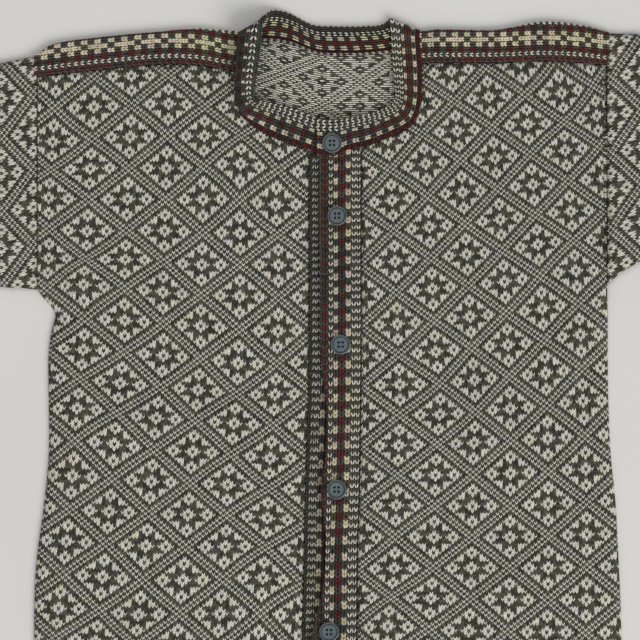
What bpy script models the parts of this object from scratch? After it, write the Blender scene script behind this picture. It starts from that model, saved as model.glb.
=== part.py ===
"""A hand-knit wool cardigan, buttoned up and laid flat on its back with its sleeves out.

Lengths in the tables are millimetres. X runs to the viewer's right, Y towards the neck and Z up
from the table. Right and left in the names are the wearer's, so the right front is at -X.
"""
import math

import bmesh
import bpy
import numpy as np
from mathutils import Vector

MM = 0.001

# ---------------------------------------------------------------------------------------------
# Driving sizes
# ---------------------------------------------------------------------------------------------
LAYER = 3.0  # one thickness of two-colour stranded knitting
BAND = 4.0  # a front band
NECK = 4.4  # the neckband, a doubled strip
SEAM = 0.3  # left open between sewn pieces
CURVED_SEAM = 0.8  # the same beside a curved edge or a puffed panel
FRONT_Z = LAYER + SEAM  # underside of what lies on the back

AIR = 2.6  # how far a front stands off the back between its folds
AIR_EDGE = 45.0  # over how much of the cloth that dies away towards a seam
FOLDED_EDGE = 7.0  # width of a front's side that rolls down round the back's edge
BACK_INSET = 4.5  # how far the back's side stays inside that roll
UNDERARM_Y = 74.0
BODY_YS = (-292, -240, -200, -140, -78, 7, 40, 52, 63, 74)  # where a side seam changes direction
BODY_STEP = 26.0  # between rows of the body
BAND_STEP = 20.0  # between sections of a front band
STRAP_STEP = 15.0  # between sections of a shoulder strap
SLEEVE_STEP = 70.0  # between rings of a sleeve
ROLL_LENGTH = 14.0  # the roll grows to its full depth over this length below the underarm

HEM_Y = -352.0
WELT_Y = -292.0  # top of the ribbed hem welts
ARMHOLE_X = 285.0
BAND_WIDTH = 40.0
RIB_PITCH = 12.5  # two knit and two purl stitches
RIB_DEPTH = 1.2
SLEEVE_LENGTH = 465.0  # armhole to cuff
CUFF_LENGTH = 65.0
STRAP_CROWN = 0.6  # how much a shoulder strap rises in its middle
EDGE_ROUNDING = 1.2  # on the edges of the front bands and hems

BUTTON_RADIUS = 10.0
BUTTON_HEIGHT = 4.2
BUTTON_HOLE_RADIUS = 1.3
BUTTON_HOLE_SPACING = 4.2

# Each front from the hem welt up to the shoulder strap: the side edge, then the edge at the front
# band. Above the bands the inner edge follows the neckband.
FRONT_COLUMNS = ("y", "side", "band")
RIGHT_FRONT_ROWS = (
    (-292, -288, -20),
    (-240, -288, -19),
    (-200, -286, -18),
    (-140, -278, -17),
    (-78, -273, -15),
    (7, -274, -13),
    (40, -269, -13),
    (52, -264, -13),
    (63, -275, -13),
    (74, -285, -13),
    (212, -285, -13),
)
LEFT_FRONT_ROWS = (
    (-292, 300, 34),
    (-240, 299, 35),
    (-200, 297, 35),
    (-140, 294, 37),
    (-78, 288, 38),
    (7, 286, 39),
    (50, 286, 39),
    (74, 285, 39),
    (212, 285, 39),
)

# The shoulder straps from the armhole to the neck: the fold at the top of the shoulder, the lower
# edge on the front, and how far the strap goes down the back.
STRAP_COLUMNS = ("x", "fold", "front", "depth")
RIGHT_STRAP_ROWS = (
    (-284.7, 309, 287, 10),
    (-278, 317, 288, 13),
    (-215, 327, 295, 13),
    (-149, 333, 300, 13),
    (-124, 335, 299, 13),
    (-97, 333, 294, 13),
    (-84.9, 332, 292, 13),
)
LEFT_STRAP_ROWS = (
    (99.7, 332, 300, 13),
    (112, 334, 301, 13),
    (171, 333, 301, 13),
    (222, 342, 303, 13),
    (262, 338, 301, 13),
    (284.7, 331, 298, 12),
)

# Sleeves, by the distance from the armhole.
SLEEVE_COLUMNS = ("out", "upper", "lower", "puff")
RIGHT_SLEEVE_ROWS = (
    (0.3, 309, 74, 0.0),
    (37, 301, 76, 1.6),
    (120, 281, 83, 2.4),
    (250, 254, 94, 2.2),
    (400, 226, 107, 1.6),
    (465, 213, 113, 0.6),
)
LEFT_SLEEVE_ROWS = (
    (0.3, 331, 78, 0.0),
    (9, 331, 87, 0.4),
    (33, 330, 102, 1.6),
    (120, 320, 121, 2.4),
    (250, 302, 139, 2.2),
    (400, 280, 159, 1.6),
    (465, 270, 167, 0.6),
)
CUFF_DRAW_IN = 6.0  # how much each side of a cuff comes in

# The neckband from its upper end at the front, round the wearer's left, the back and the right to
# its lower end: its sewn edge, then its free edge. Heights are those of its middle.
NECK_COLUMNS = ("sx", "sy", "sz", "fx", "fy", "fz")
NECK_ROWS = (
    (-2, 213.4, 10.6, -2, 242, 10.6),
    (14, 213.4, 10.6, 12, 242.5, 10.6),
    (29, 213.8, 10.4, 27, 243, 10.4),
    (42, 217.4, 7.6, 38, 245.5, 8.2),
    (55, 222.4, 5.7, 50, 249, 6.4),
    (73, 229.6, 5.5, 62, 254.5, 6.2),
    (87, 237, 5.5, 70, 261, 6.5),
    (94, 245.5, 5.5, 73.5, 268, 6.8),
    (97.5, 258, 5.5, 73, 280, 7),
    (99, 275, 5.5, 71, 295, 7),
    (99, 295, 5.5, 69, 313, 7),
    (98, 312, 5.8, 68, 327, 7.2),
    (97.5, 325, 6.8, 67.5, 338, 8),
    (97, 331.5, 5.2, 67, 344.5, 5.6),
    (95, 327, 2.7, 66, 341.5, 2.8),
    (88, 321.5, 2.4, 64, 340, 2.5),
    (78, 316.5, 2.3, 58, 337.5, 2.4),
    (66, 313.8, 2.3, 50, 336.6, 2.4),
    (48, 312.2, 2.3, 36, 336, 2.4),
    (23, 311.2, 2.3, 15, 336, 2.4),
    (-2, 312.2, 2.3, -7, 337, 2.4),
    (-17, 317.2, 2.3, -19, 342, 2.4),
    (-32, 323.2, 2.3, -30, 347.4, 2.8),
    (-48, 325.8, 2.3, -43, 350, 4),
    (-62, 326.8, 2.4, -54, 348.6, 6.5),
    (-74, 328.5, 3, -62, 342, 11),
    (-80.5, 330, 4.6, -66, 333, 15.5),
    (-82, 324, 5.5, -67.5, 322, 17.5),
    (-83, 310, 5.5, -70, 308, 18),
    (-84, 292, 5.5, -72.5, 291, 18),
    (-83.8, 275, 5.5, -74, 277, 17.5),
    (-82, 261, 5.5, -73, 266, 15.5),
    (-78, 249, 5.5, -66, 258.5, 12),
    (-68, 238.4, 5.5, -54, 254.5, 9),
    (-54, 229.4, 5.5, -41, 251.5, 7.5),
    (-33, 220.6, 5.5, -22, 246.5, 6.5),
    (-14, 214.4, 5.5, -3, 242, 5.8),
    (4, 213.4, 5.5, 8, 241.5, 5.5),
    (27, 213.4, 5.5, 27, 242, 5.5),
)
NECK_RIGHT_FRONT = slice(28, 37)  # the rows beside the right front
NECK_LEFT_FRONT = slice(2, 12)  # the rows beside the left front
NECK_BACK = slice(15, 26)  # the rows beside the back

# The free edge of the upper front band, which wavers and lifts off the lower one.
BAND_EDGE_COLUMNS = ("y", "edge", "lift")
BAND_EDGE_ROWS = (
    (-352, -4, 1.0),
    (-316, -6, 2.0),
    (-290, -10, 3.0),
    (-271, -10, 3.5),
    (-256, -7, 3.0),
    (-236, -1, 2.4),
    (-211, 3, 2.8),
    (-176, 4.5, 3.2),
    (-141, 0, 2.0),
    (-121, -2, 1.0),
    (-106, 2.5, 2.6),
    (-61, 6, 3.6),
    (-26, 3, 2.4),
    (-6, 0.6, 1.4),
    (24, -1, 0.8),
    (80, -1, 1.8),
    (144, -3, 0.6),
    (214, -2, 0.2),
)

# The cloth's largest folds, each a soft trough or ridge across a front, from one end to the other.
FOLD_COLUMNS = ("x0", "y0", "x1", "y1", "bow", "half_width", "rise")
FOLDS = (
    (-262, 119, -52, 19, 20, 17, -3.0),
    (-246, 82, -70, 48, -6, 26, 0.9),
    (-256, -8, -52, -26, -7, 17, -3.0),
    (-230, -52, -120, -60, 4, 26, 0.9),
    (-232, -86, -227, -161, 4, 16, -2.6),
    (-262, -236, -92, -236, 3, 18, -2.6),
    (48, -20, 172, 14, -8, 17, -2.8),
    (62, -84, 150, -62, 4, 24, 0.9),
    (276, 96, 214, 30, -6, 17, -2.6),
    (150, -210, 262, -120, 8, 18, -2.2),
)

BUTTONS = (  # across, up; the first is on the neckband
    (10, 220.5),
    (15, 148),
    (18.5, 19.5),
    (14.5, -125),
    (7, -267),
)

WOOL_COLOURS = {
    "stranded_wool": (0.19, 0.185, 0.16, 1.0),
    "band_wool": (0.10, 0.075, 0.07, 1.0),
    "ribbed_wool": (0.05, 0.05, 0.046, 1.0),
}
BUTTON_COLOUR = (0.11, 0.135, 0.15, 1.0)


# ---------------------------------------------------------------------------------------------
# Curves through the tables
# ---------------------------------------------------------------------------------------------
def column(rows, columns, name):
    return np.array([row[columns.index(name)] for row in rows], float)


def through(xs, ys, at):
    """A smooth curve through the points that never swings past them."""
    steps, rises = np.diff(xs), np.diff(ys)
    slopes = rises / steps
    tangents = np.empty(len(xs))
    tangents[0], tangents[-1] = slopes[0], slopes[-1]
    for i in range(1, len(xs) - 1):
        before, after = slopes[i - 1], slopes[i]
        turns = before * after <= 0
        tangents[i] = 0.0 if turns else 2 * before * after / (before + after)
    i = int(np.clip(np.searchsorted(xs, at) - 1, 0, len(steps) - 1))
    t = min(max((at - xs[i]) / steps[i], 0.0), 1.0)
    start = (1 + 2 * t) * (1 - t) ** 2 * ys[i] + t * (1 - t) ** 2 * steps[i] * tangents[i]
    end = t * t * (3 - 2 * t) * ys[i + 1] + t * t * (t - 1) * steps[i] * tangents[i + 1]
    return float(start + end)


def ease(t):
    t = min(max(t, 0.0), 1.0)
    return t * t * (3 - 2 * t)


def stations(keys, step):
    """The keys themselves, with even steps of at most that length between them."""
    found = [keys[0]]
    for low, high in zip(keys, keys[1:]):
        count = max(1, math.ceil(abs(high - low) / step))
        found += [low + (high - low) * i / count for i in range(1, count + 1)]
    return found


# ---------------------------------------------------------------------------------------------
# Making solids
# ---------------------------------------------------------------------------------------------
def new_material(name, colour, roughness):
    material = bpy.data.materials.new(name)
    material.use_nodes = True
    shader = material.node_tree.nodes["Principled BSDF"]
    shader.inputs["Base Color"].default_value = colour
    shader.inputs["Roughness"].default_value = roughness
    shader.inputs["Metallic"].default_value = 0.0
    return material


def new_object(name, rows_of_points, faces, material, smooth=True):
    mesh = bpy.data.meshes.new(name)
    mesh.from_pydata([Vector(p) * MM for p in rows_of_points], [], faces)
    form = bmesh.new()
    form.from_mesh(mesh)
    bmesh.ops.recalc_face_normals(form, faces=form.faces)
    form.to_mesh(mesh)
    form.free()
    if smooth:
        mesh.shade_smooth()
        mesh.set_sharp_from_angle(angle=math.radians(40))
    mesh.materials.append(material)
    made = bpy.data.objects.new(name, mesh)
    GARMENT.objects.link(made)
    return made


def cap(count, fold):
    """Faces across a ring whose point j lies over its point fold - j."""
    faces = []
    low, high = 0, fold
    while high - low > 2:
        faces.append((low, low + 1, high - 1, high))
        low, high = low + 1, high - 1
    if high - low == 2:
        faces.append((low, low + 1, high))
    if fold < count - 1:
        faces.append((*range(fold, count), 0))
    return faces


def loft(name, sections, material, fold=None):
    """A closed solid through unlike sections, each a ring of the same number of points. A ring is
    flat unless fold pairs the points on its two faces."""
    count = len(sections[0])
    points = [p for section in sections for p in section]
    faces = []
    for i in range(len(sections) - 1):
        for j in range(count):
            k = (j + 1) % count
            faces.append((i * count + j, i * count + k, (i + 1) * count + k, (i + 1) * count + j))
    ends = [tuple(range(count))] if fold is None else cap(count, fold)
    last = (len(sections) - 1) * count
    faces += ends + [tuple(last + j for j in face) for face in ends]
    return new_object(name, points, faces, material)


def tube(name, outer, inner, material):
    """An open tube of cloth through rings, its outer and inner face given at each ring."""
    rings, count = len(outer), len(outer[0])
    points = [p for ring in outer for p in ring] + [p for ring in inner for p in ring]
    shift = rings * count
    faces = []
    for i in range(rings - 1):
        for j in range(count):
            k = (j + 1) % count
            a, b = i * count + j, i * count + k
            c, d = a + count, b + count
            faces.append((a, b, d, c))
            faces.append((a + shift, c + shift, d + shift, b + shift))
    for first in (0, (rings - 1) * count):
        for j in range(count):
            k = (j + 1) % count
            faces.append((first + j, first + k, first + k + shift, first + j + shift))
    return new_object(name, points, faces, material)


def panel(name, columns, rows, place, material):
    """A sheet of cloth: a grid laid out by place(column, row), then given its thickness upwards."""
    bpy.ops.mesh.primitive_grid_add(x_subdivisions=columns - 1, y_subdivisions=rows - 1, size=1)
    sheet = bpy.context.object
    sheet.name = name
    sheet.data.name = name
    for vertex in sheet.data.vertices:
        i = round((vertex.co.x + 0.5) * (columns - 1))
        j = round((vertex.co.y + 0.5) * (rows - 1))
        vertex.co = Vector(place(i, j)) * MM
    sheet.data.shade_smooth()
    sheet.data.materials.append(material)
    cloth = sheet.modifiers.new("Cloth", "SOLIDIFY")
    cloth.thickness = LAYER * MM
    cloth.offset = 1.0
    cloth.use_even_offset = True
    for holder in sheet.users_collection:
        holder.objects.unlink(sheet)
    GARMENT.objects.link(sheet)
    return sheet


# ---------------------------------------------------------------------------------------------
# The neckband, which the panels round the neck are fitted to
# ---------------------------------------------------------------------------------------------
NECK_STEPS = 2  # stations in each row of the table
NECK_ACROSS = (0.0, 0.34, 0.68, 1.0)


def neck_line(names, rows):
    """A smooth line through one edge of the neckband."""
    knots = np.array([column(rows, NECK_COLUMNS, name) for name in names]).T
    padded = np.vstack([2 * knots[0] - knots[1], knots, 2 * knots[-1] - knots[-2]])
    line = []
    for i in range(1, len(padded) - 2):
        p0, p1, p2, p3 = padded[i - 1 : i + 3]
        for step in range(NECK_STEPS):
            t = step / NECK_STEPS
            line.append(
                p1
                + 0.5 * t * (p2 - p0)
                + t * t * (p0 - 2.5 * p1 + 2 * p2 - 0.5 * p3)
                + t**3 * (1.5 * (p1 - p2) + 0.5 * (p3 - p0))
            )
    line.append(padded[-2])
    return np.array(line)


def neck_stations():
    """For each station, points across the band from its sewn edge to its free one, and their normals."""
    sewn = neck_line(("sx", "sy", "sz"), NECK_ROWS)
    free = neck_line(("fx", "fy", "fz"), NECK_ROWS)
    along = np.gradient((sewn + free) / 2, axis=0)
    found = []
    for s, f, tangent in zip(sewn, free, along):
        flat = np.array([f[0] - s[0], f[1] - s[1], 0.0])
        bend = s + 0.5 * flat
        points, normals = [], []
        for t in NECK_ACROSS:
            points.append((1 - t) ** 2 * s + 2 * t * (1 - t) * bend + t * t * f)
            across = 2 * (1 - t) * (bend - s) + 2 * t * (f - bend)
            normal = np.cross(tangent, across)
            normals.append(normal / np.linalg.norm(normal))
        outward = f - bend
        found.append((points, normals, outward / np.linalg.norm(outward)))
    return found


def beside_neck(rows, outwards):
    """The line that a panel's edge follows beside the neckband, CURVED_SEAM away from it."""
    line = neck_line(("sx", "sy"), NECK_ROWS)[rows.start * NECK_STEPS : (rows.stop - 1) * NECK_STEPS + 1]
    along = np.gradient(line, axis=0)
    normal = np.stack([along[:, 1], -along[:, 0]], axis=1)
    normal /= np.linalg.norm(normal, axis=1)[:, None]
    return line + outwards * CURVED_SEAM * normal


def neckband():
    sections = []
    for points, normals, outward in neck_stations():
        half = NECK / 2
        under = [p - half * n for p, n in zip(points, normals)]
        over = [p + half * n for p, n in zip(points, normals)]
        tip = points[-1] + 0.45 * NECK * outward
        sections.append(under + [tip] + over[::-1])
    return loft("neckband", sections, BAND_WOOL, fold=2 * len(NECK_ACROSS))


# ---------------------------------------------------------------------------------------------
# Body
# ---------------------------------------------------------------------------------------------
def fold_height(x, y):
    """What the folds add to a front's height."""
    total = 0.0
    for x0, y0, x1, y1, bow, half_width, rise in FOLDS:
        dx, dy = x1 - x0, y1 - y0
        length = math.hypot(dx, dy)
        t = ((x - x0) * dx + (y - y0) * dy) / length**2
        off = (-(x - x0) * dy + (y - y0) * dx) / length
        turned = math.copysign(1.0, dx)
        off = off * turned - 4 * bow * t * (1 - t)
        ends = ease((t + 0.12) / 0.3) * ease((1.12 - t) / 0.3)
        total += rise * ends * math.exp(-((off / half_width) ** 2))
    return total


class Front:
    """One front, with its columns from the side edge to the band."""

    flat_columns = 11
    follow_y = 222.0
    rolled = ((0.0, 3.0, 0.0), (1.2, 3.05, 1.2), (2.5, 3.3, 2.5), (4.2, 4.2, FRONT_Z))

    def __init__(self, rows, strap_rows, neck_rows, outwards):
        self.sign = -1.0 if rows[0][1] < 0 else 1.0
        self.ys = column(rows, FRONT_COLUMNS, "y")
        self.sides = column(rows, FRONT_COLUMNS, "side")
        self.bands = column(rows, FRONT_COLUMNS, "band")
        self.strap_x = column(strap_rows, STRAP_COLUMNS, "x")
        self.strap_y = column(strap_rows, STRAP_COLUMNS, "front")
        edge = beside_neck(neck_rows, outwards)
        order = np.argsort(edge[:, 1])
        self.neck = edge[order]
        self.top = float(self.strap_y[-1] if self.sign < 0 else self.strap_y[0]) - CURVED_SEAM
        neck_ys = [y for y in self.neck[:, 1] if y < self.top - 2 * LAYER]
        self.rows = stations(BODY_YS + (self.ys[-1],), BODY_STEP) + neck_ys + [self.top]

    def side(self, y):
        return through(self.ys, self.sides, y)

    def inner(self, y):
        if y < self.neck[0, 1]:
            return through(self.ys, self.bands, y) + self.sign * CURVED_SEAM
        beside = float(np.interp(y, self.neck[:, 1], self.neck[:, 0]))
        band = self.bands[-1] + self.sign * CURVED_SEAM
        return min(beside, band) if self.sign < 0 else max(beside, band)

    def strap_edge(self, x):
        return through(self.strap_x, self.strap_y, x) - CURVED_SEAM

    def roll(self, y):
        """0 where the side is sewn to a sleeve, 1 where it rolls round the back."""
        return ease((UNDERARM_Y - y) / ROLL_LENGTH)

    def point(self, step, row):
        """step counts from the rolled side edge towards the band."""
        y = self.rows[row]
        side, inner, roll = self.side(y), self.inner(y), self.roll(y)
        edge = side - self.sign * CURVED_SEAM * (1 - roll)
        if step < len(self.rolled):
            flat, rolled, z = self.rolled[step]
            inset = flat + (rolled - flat) * roll
            x = edge - self.sign * inset
            height = FRONT_Z + (z - FRONT_Z) * roll
            return x, self.slide(x, y), height
        t = (step - len(self.rolled)) / (self.flat_columns - 1)
        start = edge - self.sign * FOLDED_EDGE
        x = start + (inner - start) * t
        y = self.slide(x, y)
        return x, y, FRONT_Z + self.air(x, y, start, inner)

    def air(self, x, y, start, inner):
        """How far the front stands off the back, dying away towards its seams."""
        to_neck = float(np.min(np.hypot(self.neck[:, 0] - x, self.neck[:, 1] - y)))
        seams = (abs(x - start), abs(x - inner), to_neck, self.strap_edge(x) - y, y - WELT_Y)
        return max(0.0, (AIR + fold_height(x, y)) * ease(min(seams) / AIR_EDGE))

    def slide(self, x, y):
        """Rows above follow_y turn to follow the strap's edge."""
        share = ease((y - self.follow_y) / (self.top - self.follow_y))
        return y + share * (self.strap_edge(x) - self.top)


def front(name, shape):
    steps = len(Front.rolled) + Front.flat_columns

    def place(i, j):
        step = i if shape.sign < 0 else steps - 1 - i
        return shape.point(step, j)

    return panel(name, steps, len(shape.rows), place, STRANDED_WOOL)


def strap_back_edge(rows, x):
    xs = column(rows, STRAP_COLUMNS, "x")
    fold = through(xs, column(rows, STRAP_COLUMNS, "fold"), x)
    return fold - through(xs, column(rows, STRAP_COLUMNS, "depth"), x)


def back():
    """The whole back, flat on the table, its top edge under the straps and round the neckband."""
    neck = beside_neck(NECK_BACK, -1.0)[::NECK_STEPS]
    tops = []
    for rows in (RIGHT_STRAP_ROWS, LEFT_STRAP_ROWS):
        xs = column(rows, STRAP_COLUMNS, "x")
        tops += [(x, strap_back_edge(rows, x) - 1.5 * CURVED_SEAM) for x in stations(list(xs), 2 * STRAP_STEP)]
    tops += [(x, y) for x, y in neck if RIGHT_STRAP_ROWS[-1][0] + 8 < x < LEFT_STRAP_ROWS[0][0] - 8]
    half = ARMHOLE_X - SEAM
    top_xs, top_ys = (np.array(values) for values in zip(*sorted(tops)))
    top_xs[0], top_xs[-1] = -half, half
    armhole_ys = [100, 180, 290]
    ys = stations(BODY_YS, 1.5 * BODY_STEP) + armhole_ys

    def edge(rows, y):
        sides = column(rows, FRONT_COLUMNS, "side")
        inset = SEAM + (BACK_INSET - SEAM) * ease((UNDERARM_Y + ROLL_LENGTH - y) / ROLL_LENGTH)
        return through(column(rows, FRONT_COLUMNS, "y"), sides, y) - math.copysign(inset, sides[0])

    def place(i, j):
        if j == len(ys):
            return top_xs[i], top_ys[i], 0.0
        y = ys[j]
        low, high = edge(RIGHT_FRONT_ROWS, y), edge(LEFT_FRONT_ROWS, y)
        x = (low + high) / 2 + top_xs[i] / half * (high - low) / 2
        below_top = top_ys[i] - 2 * LAYER
        return x, below_top if y == armhole_ys[-1] else y, 0.0

    return panel("back", len(top_xs), len(ys) + 1, place, STRANDED_WOOL)


# ---------------------------------------------------------------------------------------------
# Shoulder straps, folded over the top of the shoulder
# ---------------------------------------------------------------------------------------------
def strap(name, rows):
    xs = column(rows, STRAP_COLUMNS, "x")
    values = {c: column(rows, STRAP_COLUMNS, c) for c in STRAP_COLUMNS}
    half = LAYER + SEAM / 2
    sections = []
    for x in stations(list(xs), STRAP_STEP):
        fold, low, depth = (through(xs, values[c], x) for c in ("fold", "front", "depth"))
        flat = fold - half
        turns = np.linspace(0, math.pi, 5)
        bend = [(flat + half * math.sin(a), half + half * math.cos(a)) for a in turns]
        ring = [(low, 2 * half), ((low + flat) / 2, 2 * half + STRAP_CROWN)] + bend
        ring += [(fold - depth, 0.0), (fold - depth, LAYER), (flat, LAYER)]
        ring += [(flat + SEAM, half), (flat, FRONT_Z), ((low + flat) / 2, FRONT_Z), (low, FRONT_Z)]
        sections.append([(x, y, z) for y, z in ring])
    return loft(name, sections, BAND_WOOL)


# ---------------------------------------------------------------------------------------------
# Sleeves and cuffs: tubes pressed flat
# ---------------------------------------------------------------------------------------------
END_TURNS = 4  # points round each rounded side of a sleeve
FLAT_TURNS = 6  # stretches across its flat face
TUBE_GAP = 0.12  # half of what stays open between its two layers
CUFF_SHARES = (0.0, 0.12, 1.0)  # where along a cuff its rings are
CUFF_PUFF = 0.6


def flat_ring(upper, lower, puff, ribs=0):
    """(y, z) round the outer and the inner face of a flattened tube, its top raised by puff."""
    half = LAYER + SEAM / 2
    outer, inner = [], []
    for angle in np.linspace(math.pi, 0, END_TURNS):
        y, z = math.sin(angle), math.cos(angle)
        outer.append((upper - half + half * y, half + half * z))
        inner.append((upper - half + TUBE_GAP * y, half + TUBE_GAP * z))
    span = upper - lower - 2 * half
    steps = ribs * 4 if ribs else FLAT_TURNS
    for i in range(1, steps):
        t = i / steps
        y = upper - half - span * t
        rise = puff * math.sin(math.pi * t)
        rib = RIB_DEPTH * (1.0 if i % 4 in (0, 1) else 0.0) if ribs else 0.0
        outer.append((y, 2 * half + rise + rib))
        inner.append((y, half + TUBE_GAP + rise))
    for angle in np.linspace(0, -math.pi, END_TURNS):
        y, z = math.sin(angle), math.cos(angle)
        outer.append((lower + half + half * y, half + half * z))
        inner.append((lower + half + TUBE_GAP * y, half + TUBE_GAP * z))
    for i in range(1, steps):
        t = 1 - i / steps
        y = upper - half - span * t
        outer.append((y, 0.0))
        inner.append((y, LAYER))
    return outer, inner


def sleeve(name, cuff_name, rows, sign):
    outs = column(rows, SLEEVE_COLUMNS, "out")
    values = {c: column(rows, SLEEVE_COLUMNS, c) for c in ("upper", "lower", "puff")}
    outer, inner = [], []
    for out in stations(list(outs), SLEEVE_STEP):
        round_it = flat_ring(*(through(outs, values[c], out) for c in ("upper", "lower", "puff")))
        x = sign * (ARMHOLE_X + out)
        outer.append([(x, y, z) for y, z in round_it[0]])
        inner.append([(x, y, z) for y, z in round_it[1]])
    tube(name, outer, inner, STRANDED_WOOL)

    upper, lower = rows[-1][1], rows[-1][2]
    tilt = (rows[-1][1] - rows[-2][1] + rows[-1][2] - rows[-2][2]) / 2 / (rows[-1][0] - rows[-2][0])
    ribs = round((upper - lower) / RIB_PITCH)
    outer, inner = [], []
    for share in CUFF_SHARES:
        along = SEAM + share * (CUFF_LENGTH - SEAM)
        inset = SEAM + CUFF_DRAW_IN * ease(share)
        drop = tilt * along
        round_it = flat_ring(upper - inset + drop, lower + inset + drop, CUFF_PUFF, ribs)
        x = sign * (ARMHOLE_X + SLEEVE_LENGTH + along)
        outer.append([(x, y, z) for y, z in round_it[0]])
        inner.append([(x, y, z) for y, z in round_it[1]])
    tube(cuff_name, outer, inner, RIBBED_WOOL)


# ---------------------------------------------------------------------------------------------
# Hem welts, ribbed on their outer face only
# ---------------------------------------------------------------------------------------------
def welt(name, ends, base, rib_count, rounded):
    """A ribbed strip along the hem. ends(y) gives its two side edges, and rounded says which of
    them rolls down to the table."""
    sections = []
    for y in (WELT_Y - CURVED_SEAM, WELT_Y - RIB_PITCH / 2, HEM_Y + EDGE_ROUNDING, HEM_Y):
        low, high = ends(y)
        last = y == HEM_Y
        steps = rib_count * 4
        ring = []
        for i in range(steps + 1):
            x = low + (high - low) * i / steps
            rib = RIB_DEPTH if i % 4 in (1, 2) and not last and y < WELT_Y - 1 else 0.0
            drop = EDGE_ROUNDING if last else 0.0
            ring.append((x, y, base + LAYER + rib - drop))
        wall = BACK_INSET - SEAM
        if rounded > 0:
            ring += [(high, y, 0.0), (high - wall, y, 0.0), (high - wall, y, base), (low, y, base)]
        else:
            ring += [(high, y, base), (low + wall, y, base), (low + wall, y, 0.0), (low, y, 0.0)]
        sections.append(ring)
    return loft(name, sections, RIBBED_WOOL)


WELT_DRAW_IN = 3.0  # how much each side of the hem comes in


def hem_welts():
    right_side, left_side = RIGHT_FRONT_ROWS[0][1], LEFT_FRONT_ROWS[0][1]
    right_band, left_band = RIGHT_FRONT_ROWS[0][2], LEFT_FRONT_ROWS[0][2]

    def share(y):
        return ease((WELT_Y - y) / (WELT_Y - HEM_Y))

    def right_ends(y):
        return right_side + WELT_DRAW_IN * share(y), right_band - SEAM

    def left_ends(y):
        return left_band + SEAM, left_side - WELT_DRAW_IN * share(y)

    def back_ends(y):
        inset = BACK_INSET + SEAM + WELT_DRAW_IN * share(y)
        return right_side + inset, left_side - inset

    ribs = round((right_band - right_side) / RIB_PITCH)
    welt("right_front_welt", right_ends, FRONT_Z, ribs, -1)
    welt("left_front_welt", left_ends, FRONT_Z, ribs, 1)
    sections = []
    for y in (WELT_Y - CURVED_SEAM, HEM_Y):
        low, high = back_ends(y)
        sections.append([(low, y, 0.0), (high, y, 0.0), (high, y, LAYER), (low, y, LAYER)])
    loft("back_welt", sections, RIBBED_WOOL)


# ---------------------------------------------------------------------------------------------
# Front bands
# ---------------------------------------------------------------------------------------------
def seam_line(rows, y):
    ys, bands = column(rows, FRONT_COLUMNS, "y"), column(rows, FRONT_COLUMNS, "band")
    return through(ys, bands, y)


def top_of_bands(x):
    """Where the bands stop below the neckband."""
    line = beside_neck(slice(0, 6), 1.0)
    return float(np.interp(x, line[:, 0], line[:, 1]))


def band_rows():
    return stations([HEM_Y, WELT_Y, 7, 200], BAND_STEP)


def button_band():
    """The lower band, on the right front, flat on the back."""
    sections = []
    for y in band_rows() + [None]:
        at = y if y is not None else 200.0
        low = seam_line(RIGHT_FRONT_ROWS, at) + SEAM
        high = low + BAND_WIDTH
        end = y if y is not None else NECK_ROWS[0][1] - CURVED_SEAM
        top = FRONT_Z + BAND
        edge = high - EDGE_ROUNDING
        ring = [(low, FRONT_Z), (edge, FRONT_Z), (high, FRONT_Z + EDGE_ROUNDING)]
        ring += [(high, top - EDGE_ROUNDING), (edge, top), (low, top)]
        sections.append([(x, end, z) for x, z in ring])
    return loft("button_band", sections, BAND_WOOL)


CURLED = 24.0  # how much of the band's width lifts with its free edge
BAND_ACROSS = (0.0, 0.12, 0.35, 0.62, 0.75, 0.87, 1.0)
OVER_Z = FRONT_Z + BAND + 1.5 * SEAM  # underside of the upper band, on the lower one


def over_band_section(y):
    """(x, z) across the underside of the upper band, from its free edge to its seam."""
    ys = column(BAND_EDGE_ROWS, BAND_EDGE_COLUMNS, "y")
    free = through(ys, column(BAND_EDGE_ROWS, BAND_EDGE_COLUMNS, "edge"), y)
    lift = through(ys, column(BAND_EDGE_ROWS, BAND_EDGE_COLUMNS, "lift"), y)
    seam = seam_line(LEFT_FRONT_ROWS, y) - SEAM
    lower_edge = seam_line(RIGHT_FRONT_ROWS, y) + SEAM + BAND_WIDTH + CURVED_SEAM
    found = []
    for t in BAND_ACROSS:
        x = free + (seam - free) * t
        down = ease((x - lower_edge) / (seam - lower_edge)) if x > lower_edge else 0.0
        risen = lift * max(0.0, 1 - (x - free) / CURLED) ** 1.5
        found.append((x, OVER_Z + risen + (FRONT_Z - OVER_Z) * down))
    return found


def over_band_top(x, y):
    xs, zs = zip(*over_band_section(y))
    return float(np.interp(x, xs, zs)) + BAND


def buttonhole_band():
    """The upper band, on the left front: over the lower band, then down to its own front."""
    sections = []
    for y in band_rows() + [None]:
        at = y if y is not None else 212.0
        under = over_band_section(at)
        ring = []
        for x, z in under:
            ring.append((x, top_of_bands(x) if y is None else y, z))
        for x, z in reversed(under):
            ring.append((x, top_of_bands(x) if y is None else y, z + BAND))
        x, z = under[0]
        end = top_of_bands(x) if y is None else y
        ring[0] = (x + EDGE_ROUNDING, end, z)
        ring[-1] = (x + EDGE_ROUNDING, end, z + BAND)
        ring.append((x, end, z + BAND - EDGE_ROUNDING))
        ring.append((x, end, z + EDGE_ROUNDING))
        sections.append(ring)
    return loft("buttonhole_band", sections, BAND_WOOL, fold=2 * len(BAND_ACROSS) - 1)


# ---------------------------------------------------------------------------------------------
# Buttons
# ---------------------------------------------------------------------------------------------
BUTTON_PROFILE = (  # radius, height, from the top of the axis down the outer side
    (0.0, 2.7),
    (6.3, 2.8),
    (7.3, 3.7),
    (8.6, 4.2),
    (10.0, 2.6),
    (7.6, 0.0),
    (0.0, 0.0),
)


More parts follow.
